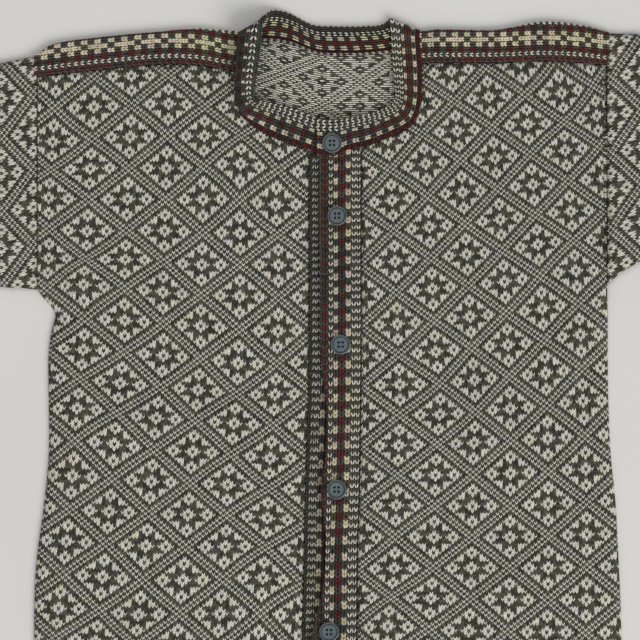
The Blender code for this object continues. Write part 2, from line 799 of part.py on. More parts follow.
def button(name, x, y, z):
    mesh = bpy.data.meshes.new(name)
    points = [Vector((radius, 0.0, height)) * MM for radius, height in BUTTON_PROFILE]
    mesh.from_pydata(points, [(i, i + 1) for i in range(len(points) - 1)], [])
    made = bpy.data.objects.new(name, mesh)
    GARMENT.objects.link(made)
    made.location = Vector((x, y, z)) * MM
    mesh.materials.append(BUTTON_PLASTIC)
    turn = made.modifiers.new("Turned", "SCREW")
    turn.axis = "Z"
    turn.steps = 18
    turn.render_steps = 18
    turn.use_merge_vertices = True
    turn.merge_threshold = 0.0001
    turn.use_smooth_shade = True
    for i, (dx, dy) in enumerate(((-1, -1), (1, -1), (1, 1), (-1, 1))):
        offset = BUTTON_HOLE_SPACING / 2
        bpy.ops.mesh.primitive_cylinder_add(
            vertices=8,
            radius=BUTTON_HOLE_RADIUS * MM,
            depth=4 * BUTTON_HEIGHT * MM,
            location=Vector((x + dx * offset, y + dy * offset, z + BUTTON_HEIGHT / 2)) * MM,
        )
        drill = bpy.context.object
        drill.name = f"{name}_drill_{i + 1}"
        drill.hide_render = True
        drill.display_type = "WIRE"
        for holder in drill.users_collection:
            holder.objects.unlink(drill)
        CUTTERS.objects.link(drill)
        cut = made.modifiers.new(f"Hole {i + 1}", "BOOLEAN")
        cut.operation = "DIFFERENCE"
        cut.object = drill
    return made


def buttons():
    for number, (x, y) in enumerate(BUTTONS, start=1):
        if number == 1:
            rest = NECK_ROWS[1][2] + NECK / 2
        else:
            reach = np.linspace(-BUTTON_RADIUS, BUTTON_RADIUS, 5)
            rest = max(over_band_top(x + dx, y + dy) for dx in reach for dy in reach)
        button(f"button_{number}", x, y, rest + SEAM)


# ---------------------------------------------------------------------------------------------
for leftover in list(bpy.data.objects):
    bpy.data.objects.remove(leftover, do_unlink=True)

GARMENT = bpy.data.collections.new("hand_knit_cardigan")
CUTTERS = bpy.data.collections.new("cutters")
bpy.context.scene.collection.children.link(GARMENT)
bpy.context.scene.collection.children.link(CUTTERS)

STRANDED_WOOL = new_material("stranded_wool", WOOL_COLOURS["stranded_wool"], 0.95)
BAND_WOOL = new_material("band_wool", WOOL_COLOURS["band_wool"], 0.95)
RIBBED_WOOL = new_material("ribbed_wool", WOOL_COLOURS["ribbed_wool"], 0.95)
BUTTON_PLASTIC = new_material("button_plastic", BUTTON_COLOUR, 0.35)

back()
front("right_front", Front(RIGHT_FRONT_ROWS, RIGHT_STRAP_ROWS, NECK_RIGHT_FRONT, 1.0))
front("left_front", Front(LEFT_FRONT_ROWS, LEFT_STRAP_ROWS, NECK_LEFT_FRONT, 1.0))
strap("right_shoulder_strap", RIGHT_STRAP_ROWS)
strap("left_shoulder_strap", LEFT_STRAP_ROWS)
sleeve("right_sleeve", "right_cuff", RIGHT_SLEEVE_ROWS, -1.0)
sleeve("left_sleeve", "left_cuff", LEFT_SLEEVE_ROWS, 1.0)
hem_welts()
button_band()
buttonhole_band()
neckband()
buttons()
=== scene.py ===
# %% [markdown]
# # A hand-knit wool cardigan, laid flat
# The garment is knitted in two colours, natural and charcoal, with cream and dark red in its bands.
# It lies buttoned on a pale table, and the camera looks straight down on the neck and the upper
# fronts. Every length below is in millimetres, and `MM` turns it into metres.
#
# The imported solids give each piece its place. They are measured here, and knitted pieces are laid
# over them.

# %% The frame
import math

import bpy
import numpy as np
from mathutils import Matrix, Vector
from mathutils.bvhtree import BVHTree


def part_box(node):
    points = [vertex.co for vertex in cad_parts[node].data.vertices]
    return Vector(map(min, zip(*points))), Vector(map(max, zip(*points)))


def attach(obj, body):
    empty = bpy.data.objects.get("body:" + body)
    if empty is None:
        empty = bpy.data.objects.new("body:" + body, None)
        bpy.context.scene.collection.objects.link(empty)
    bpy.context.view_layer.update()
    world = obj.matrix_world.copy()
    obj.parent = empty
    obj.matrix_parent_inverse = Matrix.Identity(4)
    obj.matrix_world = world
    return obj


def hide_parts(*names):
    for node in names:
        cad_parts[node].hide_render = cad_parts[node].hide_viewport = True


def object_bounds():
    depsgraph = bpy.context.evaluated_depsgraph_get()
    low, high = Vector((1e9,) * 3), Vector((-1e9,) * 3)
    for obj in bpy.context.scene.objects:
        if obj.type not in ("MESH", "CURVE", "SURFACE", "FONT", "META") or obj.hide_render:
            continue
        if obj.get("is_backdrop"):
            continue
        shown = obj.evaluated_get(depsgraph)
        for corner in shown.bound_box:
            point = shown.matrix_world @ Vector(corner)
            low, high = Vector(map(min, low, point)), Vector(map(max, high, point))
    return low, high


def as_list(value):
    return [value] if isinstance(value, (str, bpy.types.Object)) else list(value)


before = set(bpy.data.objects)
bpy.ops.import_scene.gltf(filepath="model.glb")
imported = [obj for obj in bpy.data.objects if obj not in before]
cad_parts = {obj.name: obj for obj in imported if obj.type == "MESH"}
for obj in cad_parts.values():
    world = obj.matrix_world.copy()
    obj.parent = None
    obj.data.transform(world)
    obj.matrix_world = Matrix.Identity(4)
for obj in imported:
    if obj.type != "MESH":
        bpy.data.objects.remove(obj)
CAD_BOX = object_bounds()
MM = 0.001
print(len(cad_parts), "solids to dress")

# %% [markdown]
# ## Camera, table and light
# The photograph is taken from straight above, so the camera looks down the Z axis. A long lens keeps
# the sleeves from leaning. The light is a large soft one at the lower right, over an even sky, which
# leaves soft shadows on the table above the shoulders and on the left of the collar and the bands. A
# small, weak lamp at the upper left lightens those shadows a little.

# %% Camera
CAMERA_AT = (-2.0, 44.0, 3560.0)
LENS = 200.0
camera = bpy.data.objects.new("camera", bpy.data.cameras.new("camera"))
bpy.context.scene.collection.objects.link(camera)
camera.location = Vector(CAMERA_AT) * MM
camera.data.lens = LENS
camera.data.sensor_width = 36.0
bpy.context.scene.camera = camera
bpy.context.scene.view_settings.view_transform = "Standard"
print("camera at", tuple(round(v, 3) for v in camera.location))


# %% Light
def soft_light(name, place, aim, size, power, colour):
    lamp = bpy.data.lights.new(name, "AREA")
    lamp.shape = "DISK"
    lamp.size, lamp.energy, lamp.color = size, power, colour
    holder = bpy.data.objects.new(name, lamp)
    bpy.context.scene.collection.objects.link(holder)
    holder.location = Vector(place)
    holder.rotation_euler = (Vector(aim) - Vector(place)).to_track_quat("-Z", "Y").to_euler()


SKY_STRENGTH = 0.50
WARM_WHITE = (1.0, 0.985, 0.96)
sky = bpy.data.worlds.new("sky")
sky.use_nodes = True
sky.node_tree.nodes["Background"].inputs["Color"].default_value = (0.98, 0.99, 1.0, 1)
sky.node_tree.nodes["Background"].inputs["Strength"].default_value = SKY_STRENGTH
bpy.context.scene.world = sky
soft_light("window", (3.1, -3.9, 3.9), (0.0, 0.0, 0.0), 4.0, 280.0, WARM_WHITE)
soft_light("lamp", (-0.55, 0.95, 1.7), (-0.1, 0.1, 0.0), 0.9, 5.0, WARM_WHITE)
print("sky", SKY_STRENGTH)

# %% [markdown]
# ## Shader maths in plain Python
# A knitted pattern is arithmetic on stitch numbers. Wiring dozens of Math nodes by hand is slow and
# hard to read, so a small class wraps a socket and lets `+`, `*`, `<` and `abs` add the nodes.


# %% Values that Python can calculate with
class Value:
    """One number that changes over the surface."""

    def __init__(self, finish, socket):
        self.finish, self.socket = finish, socket

    def maths(self, operation, *others):
        inputs = dict(enumerate((self,) + others))
        return self.finish.node("ShaderNodeMath", {"operation": operation}, inputs)

    def __add__(self, other):
        return self.maths("ADD", other)

    def __sub__(self, other):
        return self.maths("SUBTRACT", other)

    def __rsub__(self, other):
        return (self * -1.0) + other

    def __mul__(self, other):
        return self.maths("MULTIPLY", other)

    def __truediv__(self, other):
        return self.maths("DIVIDE", other)

    def __pow__(self, other):
        return self.maths("POWER", other)

    def __mod__(self, other):
        return self.maths("FLOORED_MODULO", other)

    def __gt__(self, other):
        return self.maths("GREATER_THAN", other)

    def __lt__(self, other):
        return self.maths("LESS_THAN", other)

    def __or__(self, other):
        return self.maths("MAXIMUM", other)

    def __and__(self, other):
        return self.maths("MINIMUM", other)

    def __abs__(self):
        return self.maths("ABSOLUTE")

    def floor(self):
        return self.maths("FLOOR")

    __radd__ = __add__
    __rmul__ = __mul__


# %% A material in the making
class Finish:
    """A material whose nodes are added one call at a time."""

    def __init__(self, name, roughness):
        self.material = bpy.data.materials.new(name)
        self.material.use_nodes = True
        self.tree = self.material.node_tree
        self.shader = self.tree.nodes["Principled BSDF"]
        self.shader.inputs["Roughness"].default_value = roughness

    def node(self, kind, settings, inputs, output=0):
        """A node with its settings made first, then its sockets, as values or as links."""
        made = self.tree.nodes.new(kind)
        for name, value in settings.items():
            if name == "stops":
                self.set_stops(made.color_ramp, value)
            else:
                setattr(made, name, value)
        for name, value in inputs.items():
            if isinstance(value, Value):
                self.tree.links.new(value.socket, made.inputs[name])
            else:
                made.inputs[name].default_value = value
        return Value(self, made.outputs[output])

    def set_stops(self, ramp, stops):
        while len(ramp.elements) < len(stops):
            ramp.elements.new(1.0)
        for element, (place, colour) in zip(ramp.elements, stops):
            element.position, element.color = place, (*colour, 1.0)

    def ramp(self, factor, *stops):
        return self.node("ShaderNodeValToRGB", {"stops": stops}, {"Fac": factor})

    def blend(self, factor, under, over, kind="MIX"):
        settings = {"data_type": "RGBA", "blend_type": kind}
        return self.node("ShaderNodeMix", settings, {0: factor, 6: under, 7: over}, 2)

    def shade(self, colour, amount):
        """The colour made darker or lighter by a number."""
        return self.node("ShaderNodeVectorMath", {"operation": "SCALE"}, {0: colour, "Scale": amount})

    def attribute(self, name):
        """The three numbers that a piece carries under that name."""
        return self.node("ShaderNodeAttribute", {"attribute_name": name}, {}, "Vector")

    def split(self, vector):
        parts = self.node("ShaderNodeSeparateXYZ", {}, {0: vector}).socket.node.outputs
        return [Value(self, parts[axis]) for axis in range(3)]

    def point(self, x, y, z=0.0):
        return self.node("ShaderNodeCombineXYZ", {}, {0: x, 1: y, 2: z})

    def place(self):
        return self.node("ShaderNodeTexCoord", {}, {}, "Object")

    def noise(self, vector, scale, detail=2.0):
        return self.node("ShaderNodeTexNoise", {}, {"Vector": vector, "Scale": scale, "Detail": detail})

    def chance(self, vector):
        """A different random number for each whole-numbered place."""
        return self.node("ShaderNodeTexWhiteNoise", {}, {"Vector": vector})

    def finish(self, colour, height, depth):
        """Joins colour and relief to the shader. depth is the relief's height in millimetres."""
        inputs = {"Height": height, "Distance": depth * MM, "Strength": 1.0}
        relief = self.node("ShaderNodeBump", {}, inputs)
        self.tree.links.new(colour.socket, self.shader.inputs["Base Color"])
        self.tree.links.new(relief.socket, self.shader.inputs["Normal"])
        return self.material


print("shader maths ready")

# %% [markdown]
# ## Yarn colours
# Heather yarn is carded from fibres of several colours, so a charcoal stitch leans to olive, brown,
# slate or plum, and a natural one to green or pink. Each yarn is a short list of leanings, and
# stitches drift from one to the next along a row. A chart names a yarn by one letter: n natural,
# c cream, k cream with a thinner leg, r dark red, b brick, m maroon, d charcoal and g grey.

# %% Yarns
NATURAL = ((0.715, 0.715, 0.565), (0.745, 0.695, 0.605), (0.725, 0.715, 0.635), (0.715, 0.705, 0.655))
CREAM = ((0.60, 0.58, 0.36), (0.62, 0.53, 0.39), (0.60, 0.55, 0.38), (0.60, 0.50, 0.40))
RED = ((0.092, 0.006, 0.007), (0.070, 0.008, 0.006), (0.105, 0.006, 0.009), (0.046, 0.009, 0.009))
CHARCOAL = ((0.075, 0.073, 0.044), (0.079, 0.069, 0.047), (0.070, 0.070, 0.052), (0.074, 0.066, 0.054))
GREY = ((0.064, 0.058, 0.036), (0.072, 0.056, 0.046), (0.054, 0.052, 0.050), (0.038, 0.052, 0.036))
MAROON = ((0.062, 0.006, 0.007), (0.050, 0.007, 0.006), (0.070, 0.006, 0.008), (0.036, 0.008, 0.008))
BRICK = ((0.150, 0.013, 0.010), (0.120, 0.012, 0.009), (0.165, 0.014, 0.011), (0.100, 0.011, 0.010))
YARNS = {"n": NATURAL, "c": CREAM, "k": CREAM, "r": RED, "b": BRICK, "m": MAROON, "d": CHARCOAL, "g": GREY}
print("yarns:", ", ".join(YARNS))

# %% [markdown]
# ## Stranded knitting as a surface
# The fronts, back and sleeves have over a hundred thousand stitches, too many to model one by one,
# so their stitches are relief and colour on a shaped sheet. Each piece carries the number of its
# stitch and its row at every corner, as an attribute named `stitches`. The finish draws from it:
# - `column` and `row` say which stitch a point is in. A leg climbs outwards from the foot of its
#   stitch, so the row is read after taking that climb away.
# - the chart turns those two whole numbers into one of two yarns: an all-over lozenge with a flower
#   of four petals, half a repeat over in each second band.

# %% The chart
REPEAT = 24  # stitches and rows from one lozenge to the next


def ring_of_petals(across, up):
    far = across + up
    return (far > 0.5) & (far < 2.5)


def lozenges(column, row):
    """1 where a stitch is natural, 0 where it is charcoal."""
    half = REPEAT / 2
    across = abs((column + half) % REPEAT - half)
    up = abs((row + half) % REPEAT - half)
    outside = (across + up) > half + 0.5
    across = across + outside * (half - across * 2.0)
    up = up + outside * (half - up * 2.0)
    far = across + up
    border = (far > 10.5) & (far < 11.5)
    petals = ring_of_petals(across, up) | ring_of_petals(abs(across - 6.0), up)
    petals = petals | ring_of_petals(across, abs(up - 6.0)) | ((across > 2.5) & (up > 2.5))
    return border | (petals & (far < 8.5))


# %% Stitches as relief
LEG_CLIMB = 1.7  # rows that a leg climbs from the middle of its stitch to the side
THIN = 0.08  # share of a row that a lone light leg leaves dark on each side
LEG_EDGE = 8.0  # how sharply a light leg ends against the dark
# The gaps are painted shade: brightness between two dark legs and between two light ones.
GAP_DARK, GAP_LIGHT = 0.05, 0.76  # brightness between two dark legs and between two light ones
RELIEF = 0.85
MATTE = 0.92


def wool_fuzz(finish):
    """Fine uneven fibres."""
    return finish.noise(finish.place(), 900.0, 3.0)


def heather(finish, yarn, column, row, drift):
    """A yarn's leanings, drifting along the row."""
    drifting = finish.noise(finish.point(column * drift, row * drift * 1.4), 1.0, 1.0)
    places = (0.34, 0.46, 0.56, 0.68)
    return finish.ramp(drifting, *zip(places, yarn))


def stitch_at(finish):
    """The column and row of a point's stitch, how far it is from the middle, and across the leg."""
    u, v, _ = finish.split(finish.attribute("stitches"))
    column = u.floor()
    off = abs(u - column - 0.5)
    climbed = v - off * LEG_CLIMB
    row = climbed.floor()
    return column, row, off, climbed - row


def leg_height(across, off, at_side, at_middle):
    """A leg's round top, which falls off towards the side and the middle of its stitch."""
    ends = 1.0 - (off * 2.0) ** 5.0 * at_side - (1.0 - off * 2.0) ** 7.0 * at_middle
    return (1.0 - (across * 2.0 - 1.0) ** 2.0) * ends


def leg_body(across, thin):
    """1 along a leg and 0 within a thin share of a row from its sides."""
    from_edge = 0.5 - abs(across - 0.5)
    return ((from_edge - thin) * LEG_EDGE & 1.0) | 0.0


def lit(gap, top, leg, uneven, fuzz):
    """Painted shading: the brightness of the shade painted in the gap, rising to the leg's top, uneven
    between stitches and fibres.
    """
    return (gap + leg * (top - gap)) * (0.86 + uneven * 0.28) * (0.72 + fuzz * 0.56)


def wool(finish, light, gap, leg, column, row):
    """Joins the two yarns, with shade painted between the legs, and uneven from stitch to stitch."""
    fuzz = wool_fuzz(finish)
    uneven = finish.chance(finish.point(column, row))
    dark = finish.shade(heather(finish, CHARCOAL, column, row, 0.17), 0.46 + uneven * 1.30)
    pale = heather(finish, NATURAL, column, row, 0.14)
    colour = finish.shade(finish.blend(light, dark, pale), lit(gap, 1.04, leg, uneven, fuzz))
    return finish.finish(colour, leg + fuzz * 0.35 + uneven * 0.12, RELIEF)


def stranded_cloth():
    """The right side. A light leg is thinner where the next one in its column is dark."""
    finish = Finish("stranded wool", MATTE)
    column, row, off, across = stitch_at(finish)
    light = lozenges(column, row)
    beside = lozenges(column, row + (across > 0.5) * 2.0 - 1.0)
    # Painted shade in the gaps between legs, lighter between two light legs.
    gap = (light & beside) * (GAP_LIGHT - GAP_DARK) + GAP_DARK
    leg = leg_height(across, off, 0.5, 0.4)
    return wool(finish, light & (beside | leg_body(across, THIN)), gap, leg, column, row)


# %% Strands on the wrong side
FLOAT_REACH = 0.17  # how far a strand runs past its stitch
FLOAT_THIN = 0.17  # share of a row that a strand leaves dark on each side
WAVER = 1.1  # rows by which a strand wanders


def floating_cloth():
    """The wrong side. Each yarn floats in short strands where the other one is knitted."""
    finish = Finish("stranded wool, wrong side", MATTE)
    u, v, _ = finish.split(finish.attribute("stitches"))
    v = v + finish.noise(finish.point(u * 0.31, v * 0.23), 1.0, 1.0) * WAVER
    column, row = u.floor(), v.floor()
    off, across = abs(u - column - 0.5), v - row
    knitted = lozenges((u + FLOAT_REACH).floor(), row) & lozenges((u - FLOAT_REACH).floor(), row)
    light = (1.0 - knitted) & leg_body(across, FLOAT_THIN)
    leg = (1.0 - (across * 2.0 - 1.0) ** 2.0) * (1.0 - (off * 2.0) ** 4.0 * 0.3)
    # Painted shade between the strands.
    return wool(finish, light, GAP_DARK, leg, column, row)


FAIR_ISLE = stranded_cloth()
FLOATS = floating_cloth()
print("knitted cloth:", FAIR_ISLE.name, "and", FLOATS.name)

# %% [markdown]
# ## Measuring the solids
# A knitted piece has to lie where its solid lies. `Solid` reads a solid's triangles once. It can
# say how far the solid reaches on a plane across it, how high its top is at a place, and give the
# outline that the plane cuts, as points in order.


# %% Solids
class Solid:
    """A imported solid's triangles, in millimetres."""

    def __init__(self, name):
        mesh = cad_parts[name].data
        mesh.calc_loop_triangles()
        flat = np.empty(3 * len(mesh.vertices))
        mesh.vertices.foreach_get("co", flat)
        points = flat.reshape(-1, 3) / MM
        corners = np.empty(3 * len(mesh.loop_triangles), int)
        mesh.loop_triangles.foreach_get("vertices", corners)
        corners = corners.reshape(-1, 3)
        self.triangles = points[corners]
        self.low, self.high = points.min(axis=0), points.max(axis=0)
        self.tree = BVHTree.FromPolygons(points.tolist(), corners.tolist())

    def cuts(self, axis, at):
        """The short lines in which a plane across that axis cuts the triangles."""
        at += 0.00037  # never exactly through a corner
        side = self.triangles[:, :, axis] - at
        crossed = np.ptp(np.sign(side), axis=1) > 0
        lines = []
        for corners, height in zip(self.triangles[crossed], side[crossed]):
            ends = []
            for a, b in ((0, 1), (1, 2), (2, 0)):
                if height[a] * height[b] < 0:
                    share = height[a] / (height[a] - height[b])
                    ends.append(corners[a] + share * (corners[b] - corners[a]))
            lines.append(ends)
        return np.array(lines)

    def reach(self, axis, at, along):
        """The lowest and highest value along another axis on that plane."""
        values = self.cuts(axis, at)[:, :, along]
        return values.min(), values.max()

    def outline(self, axis, at, start):
        """The loop that the plane cuts, in order, from its point nearest to start."""
        lines = list(self.cuts(axis, at))
        first = min(range(len(lines)), key=lambda i: np.linalg.norm(lines[i][0] - start))
        loop = list(lines.pop(first))
        while lines:
            gaps = [min(np.linalg.norm(line - loop[-1], axis=1)) for line in lines]
            nearest = int(np.argmin(gaps))
            if gaps[nearest] > 0.05:
                break
            line = lines.pop(nearest)
            near_first = np.linalg.norm(line[0] - loop[-1]) < np.linalg.norm(line[1] - loop[-1])
            loop.append(line[1] if near_first else line[0])
        return np.array(loop[:-1])

    def top(self, x, y):
        hit = self.tree.ray_cast(Vector((x, y, 100.0)), Vector((0, 0, -1)))[0]
        return hit.z if hit else None


def ease(t):
    t = np.clip(t, 0.0, 1.0)
    return t * t * (3 - 2 * t)


print("back reaches", Solid("back").reach(1, 0.0, 0))


# %% [markdown]
# ## Sheets of cloth
# A panel is a grid from `primitive_grid_add` whose corners are moved to the places worked out for
# it. Its stitch numbers go on the faces' corners, so that a seam can end one count and begin the
# next. Solidify, applied, then makes the sheet a closed wall of cloth.

# %% Smoothing and sheets
WALL = 2.3  # thickness of the fine cloth
LOWEST = 0.05 * MM  # nothing goes under the table's top


def smoothed(grid, times, axis=None):
    """A grid of points or heights, each moved to the mean of its neighbours, edges kept."""
    grid = grid.copy()
    axes = (0, 1) if axis is None else (axis,)
    for _ in range(times):
        for a in axes:
            g = np.moveaxis(grid, a, 0)
            g[1:-1] = 0.25 * g[:-2] + 0.5 * g[1:-1] + 0.25 * g[2:]
    return grid


def take_back(name):
    """The object that an operator has just made, under its own name."""
    made = bpy.context.object
    made.name = made.data.name = name
    return made


def only(*pieces):
    """Selects these pieces and nothing else, with the last one active."""
    bpy.ops.object.select_all(action="DESELECT")
    for piece in pieces:
        piece.select_set(True)
    bpy.context.view_layer.objects.active = pieces[-1]


def face_outwards(weld=None):
    """Turns the active piece's faces outwards. Points closer together than weld become one first."""
    bpy.ops.object.mode_set(mode="EDIT")
    bpy.ops.mesh.select_all(action="SELECT")
    if weld:
        bpy.ops.mesh.remove_doubles(threshold=weld * MM)
    bpy.ops.mesh.normals_make_consistent(inside=False)
    bpy.ops.object.mode_set(mode="OBJECT")


def use(piece, kind, **settings):
    """Adds a modifier and applies it."""
    only(piece)
    modifier = piece.modifiers.new(kind.title(), kind)
    for name, value in settings.items():
        setattr(modifier, name, value)
    bpy.ops.object.modifier_apply(modifier=modifier.name)


def grid_of(name, points, material):
    """A sheet through a grid of points: rows first, then across."""
    rows, across = points.shape[:2]
    bpy.ops.object.select_all(action="DESELECT")
    bpy.ops.mesh.primitive_grid_add(x_subdivisions=across - 1, y_subdivisions=rows - 1, size=1)
    sheet = take_back(name)
    flat = np.empty(3 * len(sheet.data.vertices))
    sheet.data.vertices.foreach_get("co", flat)
    plan = flat.reshape(-1, 3)
    i = np.rint((plan[:, 0] + 0.5) * (across - 1)).astype(int)
    j = np.rint((plan[:, 1] + 0.5) * (rows - 1)).astype(int)
    sheet.data.vertices.foreach_set("co", (points[j, i] * MM).ravel())
    sheet.data.materials.append(material)
    return sheet, i, j


def number_stitches(sheet, numbers, i, j):
    """Writes the stitch and row number of each grid point on the corners of its faces."""
    corners = np.empty(len(sheet.data.loops), int)
    sheet.data.loops.foreach_get("vertex_index", corners)
    values = np.zeros((len(corners), 3))
    values[:, :2] = numbers[j, i][corners]
    layer = sheet.data.attributes.new("stitches", "FLOAT_VECTOR", "CORNER")
    layer.data.foreach_set("vector", values.ravel())


def cloth(name, points, numbers, material, inside=None, close=False):
    """A wall of cloth whose upper face is the grid. close joins its last column to its first."""
    sheet, i, j = grid_of(name, points, material)
    number_stitches(sheet, numbers, i, j)
    if close:
        face_outwards(weld=0.01)
    highest = max(sheet.data.polygons, key=lambda face: face.center.z)
    if highest.normal.z < 0:
        bpy.ops.object.mode_set(mode="EDIT")
        bpy.ops.mesh.select_all(action="SELECT")
        bpy.ops.mesh.flip_normals()
        bpy.ops.object.mode_set(mode="OBJECT")
    if inside:
        sheet.data.materials.append(inside)
    wall = {"thickness": WALL * MM, "offset": -1.0, "use_even_offset": False}
    use(sheet, "SOLIDIFY", material_offset=1 if inside else 0, **wall)
    for vertex in sheet.data.vertices:
        vertex.co.z = max(vertex.co.z, LOWEST)
    sheet.data.shade_smooth()
    return sheet


def belongs(piece, nodes):
    """Every piece rides on the one body and stands for its solids, which are hidden. Its size is printed."""
    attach(piece, "root")
    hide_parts(*nodes)
    heights = [vertex.co.z / MM for vertex in piece.data.vertices]
    area = sum(face.area for face in piece.data.polygons) / 2
    span = f"{min(heights):.1f} to {max(heights):.1f} mm high"
    print(f"{piece.name}: {len(heights)} points, {span}, {area:.4f} m2 a side")


STITCH, ROW = 3.13, 2.65  # width and height of one stitch of the fine cloth

# %% [markdown]
# ## The two fronts
# Each front is one knitted panel. Its rows bow and its columns lean, because the cloth was pulled a
# little as it was laid. So its stitches aren't counted with a straight ruler: a gentle surface gives
# the number of the stitch and of the row at each place. The five terms of each surface are a
# least-squares fit, worked out apart from this script, through the middles of 98 flowers that were
# found in the photograph. The pushes then move the count where the cloth was pulled more. They were
# set from how far a render's stitches lay from the photograph's.
#
# The side rolls down to the table round the edge of the back. Long soft troughs run across each
# front, and smaller dents lie between them.

# %% How the stitches run
# The number at the middle of the garment, then what it gains to the right, upwards, with both, and
# with the square of the way up.
RIGHT_STITCHES = (50.255, 0.30899, -0.00931, 0.471e-4, 0.272e-4)
RIGHT_ROWS = (-48.627, 0.01471, 0.37523, -0.349e-4, 0.254e-4)
LEFT_STITCHES = (-48.821, 0.32658, -0.00053, 0.686e-4, 0.487e-4)
LEFT_ROWS = (-38.079, -0.02582, 0.39838, -1.023e-4, 0.130e-4)


def bowed(terms, x, y):
    start, across, up, twist, up_squared = terms
    return start + across * x + up * y + twist * x * y + up_squared * y * y


PUSHES = (  # x and y of the middle, how far round it, by how many stitches, by how many rows
    (-265, 222, 35, 0.5, 2.3),
    (-85, 203, 38, 0.0, -2.6),
    (-155, 258, 35, -0.4, -1.5),
    (-235, 130, 40, 0.4, 1.2),
    (-272, 168, 30, 1.0, 0.0),
    (-120, 100, 40, 0.1, 0.9),
    (-48, 158, 32, 1.1, 1.4),
    (-240, 80, 28, 0.8, -2.3),
    (-158, 6, 40, -1.1, 0.2),
    (-75, -10, 45, -0.3, 2.0),
    (-242, -50, 42, 0.4, -2.3),
    (-205, -85, 30, 0.0, -0.8),
    (-52, -95, 30, 0.3, 1.1),
    (-95, -120, 35, 0.7, 0.0),
    (-60, -212, 45, 0.1, -2.3),
    (-190, -250, 40, 0.2, 1.8),
    (-264, -240, 28, 0.2, 1.2),
    (240, 268, 38, -1.3, 2.5),
    (105, 200, 35, -0.3, -1.0),
    (282, 186, 30, -0.3, 0.7),
    (235, 107, 40, 0.0, -1.6),
    (258, 30, 38, 0.0, -1.8),
    (262, -36, 30, 0.2, -1.1),
    (122, -35, 42, -1.6, 1.0),
    (185, -145, 60, 0.2, 0.75),
    (66, -261, 40, 1.1, -2.1),
    (-208, 28, 40, -0.6, -0.9),
    (-218, 262, 45, -0.6, 0.0),
    (-275, 0, 30, 0.0, -1.4),
    (-188, 84, 28, 0.0, -1.0),
    (-270, -90, 45, 0.1, -0.7),
    (-95, -158, 50, 0.1, -0.8),
    (-52, 40, 34, -0.3, 0.8),
    (-82, 185, 42, 0.4, 0.0),
    (-50, -240, 35, 0.0, -0.7),
    (78, 30, 42, 0.0, 0.8),
    (70, -150, 35, 0.3, -0.9),
    (140, -240, 60, 0.0, -0.6),
    (100, 245, 32, 0.4, -0.5),
    (262, 88, 26, 0.0, -0.8),
)


def front_numbers(grid, stitches, rows):
    x, y = grid[..., 0], grid[..., 1]
    columns, up = bowed(stitches, x, y) + 0.5, bowed(rows, x, y) + 0.5
    for at_x, at_y, around, by_columns, by_rows in PUSHES:
        share = np.exp(-((x - at_x) ** 2 + (y - at_y) ** 2) / around**2)
        columns, up = columns + by_columns * share, up + by_rows * share
    return np.stack([columns, up], axis=-1)


# %% Creases
CREASES = (  # from x0, y0 to x1, y1, how far it bows sideways, its half width, and its rise
    (-262, 119, -52, 19, 20, 9, -0.5),
    (-256, -8, -52, -26, -7, 9, -0.5),
    (-232, -86, -227, -161, 4, 10, -0.4),
    (-262, -236, -92, -236, 3, 10, -0.4),
    (48, -20, 172, 14, -8, 9, -0.5),
    (276, 96, 214, 30, -6, 9, -0.5),
    (150, -210, 262, -120, 8, 12, -0.4),
    (-250, 200, -120, 150, 14, 22, 0.5),
    (-230, -150, -70, -120, -10, 24, 0.5),
    (70, 120, 260, 160, 12, 24, 0.5),
    (60, -150, 240, -60, 10, 22, 0.5),
    (90, 230, 250, 245, -8, 18, -0.4),
)


CREASE_RUNOUT, CREASE_FADE = 0.15, 0.35  # shares of its length: past its ends, and fading there


def crease_height(x, y):
    total = np.zeros_like(x)
    for x0, y0, x1, y1, bow, half_width, rise in CREASES:
        dx, dy = x1 - x0, y1 - y0
        length = math.hypot(dx, dy)
        t = ((x - x0) * dx + (y - y0) * dy) / length**2
        off = (-(x - x0) * dy + (y - y0) * dx) / length * math.copysign(1.0, dx)
        off = off - 4 * bow * t * (1 - t)
        ends = ease((t + CREASE_RUNOUT) / CREASE_FADE) * ease((1 + CREASE_RUNOUT - t) / CREASE_FADE)
        total += rise * ends * np.exp(-((off / half_width) ** 2))
    return total


WAVES = 14  # in the dents
WAVE_LENGTHS = (28, 75)


def dents(x, y, seed):
    """Small uneven waves, as hand knitting has when it isn't pressed."""
    waves = np.random.default_rng(seed)
    total = np.zeros_like(x)
    for _ in range(WAVES):
        length, turn, phase = waves.uniform(*WAVE_LENGTHS), waves.uniform(0, math.pi), waves.uniform(0, 6.3)
        run = (x * math.cos(turn) + y * math.sin(turn)) * 2 * math.pi / length
        total += np.sin(run + phase) / WAVES
    return total


print(len(PUSHES), "pushes and", len(CREASES), "creases")


# %% Fronts
GRID = 4.5  # size of a face of the fine cloth
ROLL = 7.0  # width of the side that rolls down to the table
ROLL_STEPS = 6
FOLLOW_Y = 222.0  # above this the rows turn to follow the shoulder strap
UNDERARM_Y, ROLL_GROWS = 74.0, 14.0  # the roll starts under the arm and grows over this height
FOOT = 0.4  # how far the rolled edge stays off the table
FRONT_STEPS = 56  # places across a front, besides the roll
SHOULDER_LINES = (211.0, 240.0, 2.4)  # closer lines, from, to and apart, where the neck is cut away
SIDE_X, SLEEVE_TOP_Y = 284.4, 285.5  # a plane across the front cuts it inside these
DENT_DEPTH = 1.1
FLAT_RIM = 30.0  # creases and dents fade out this near to an edge


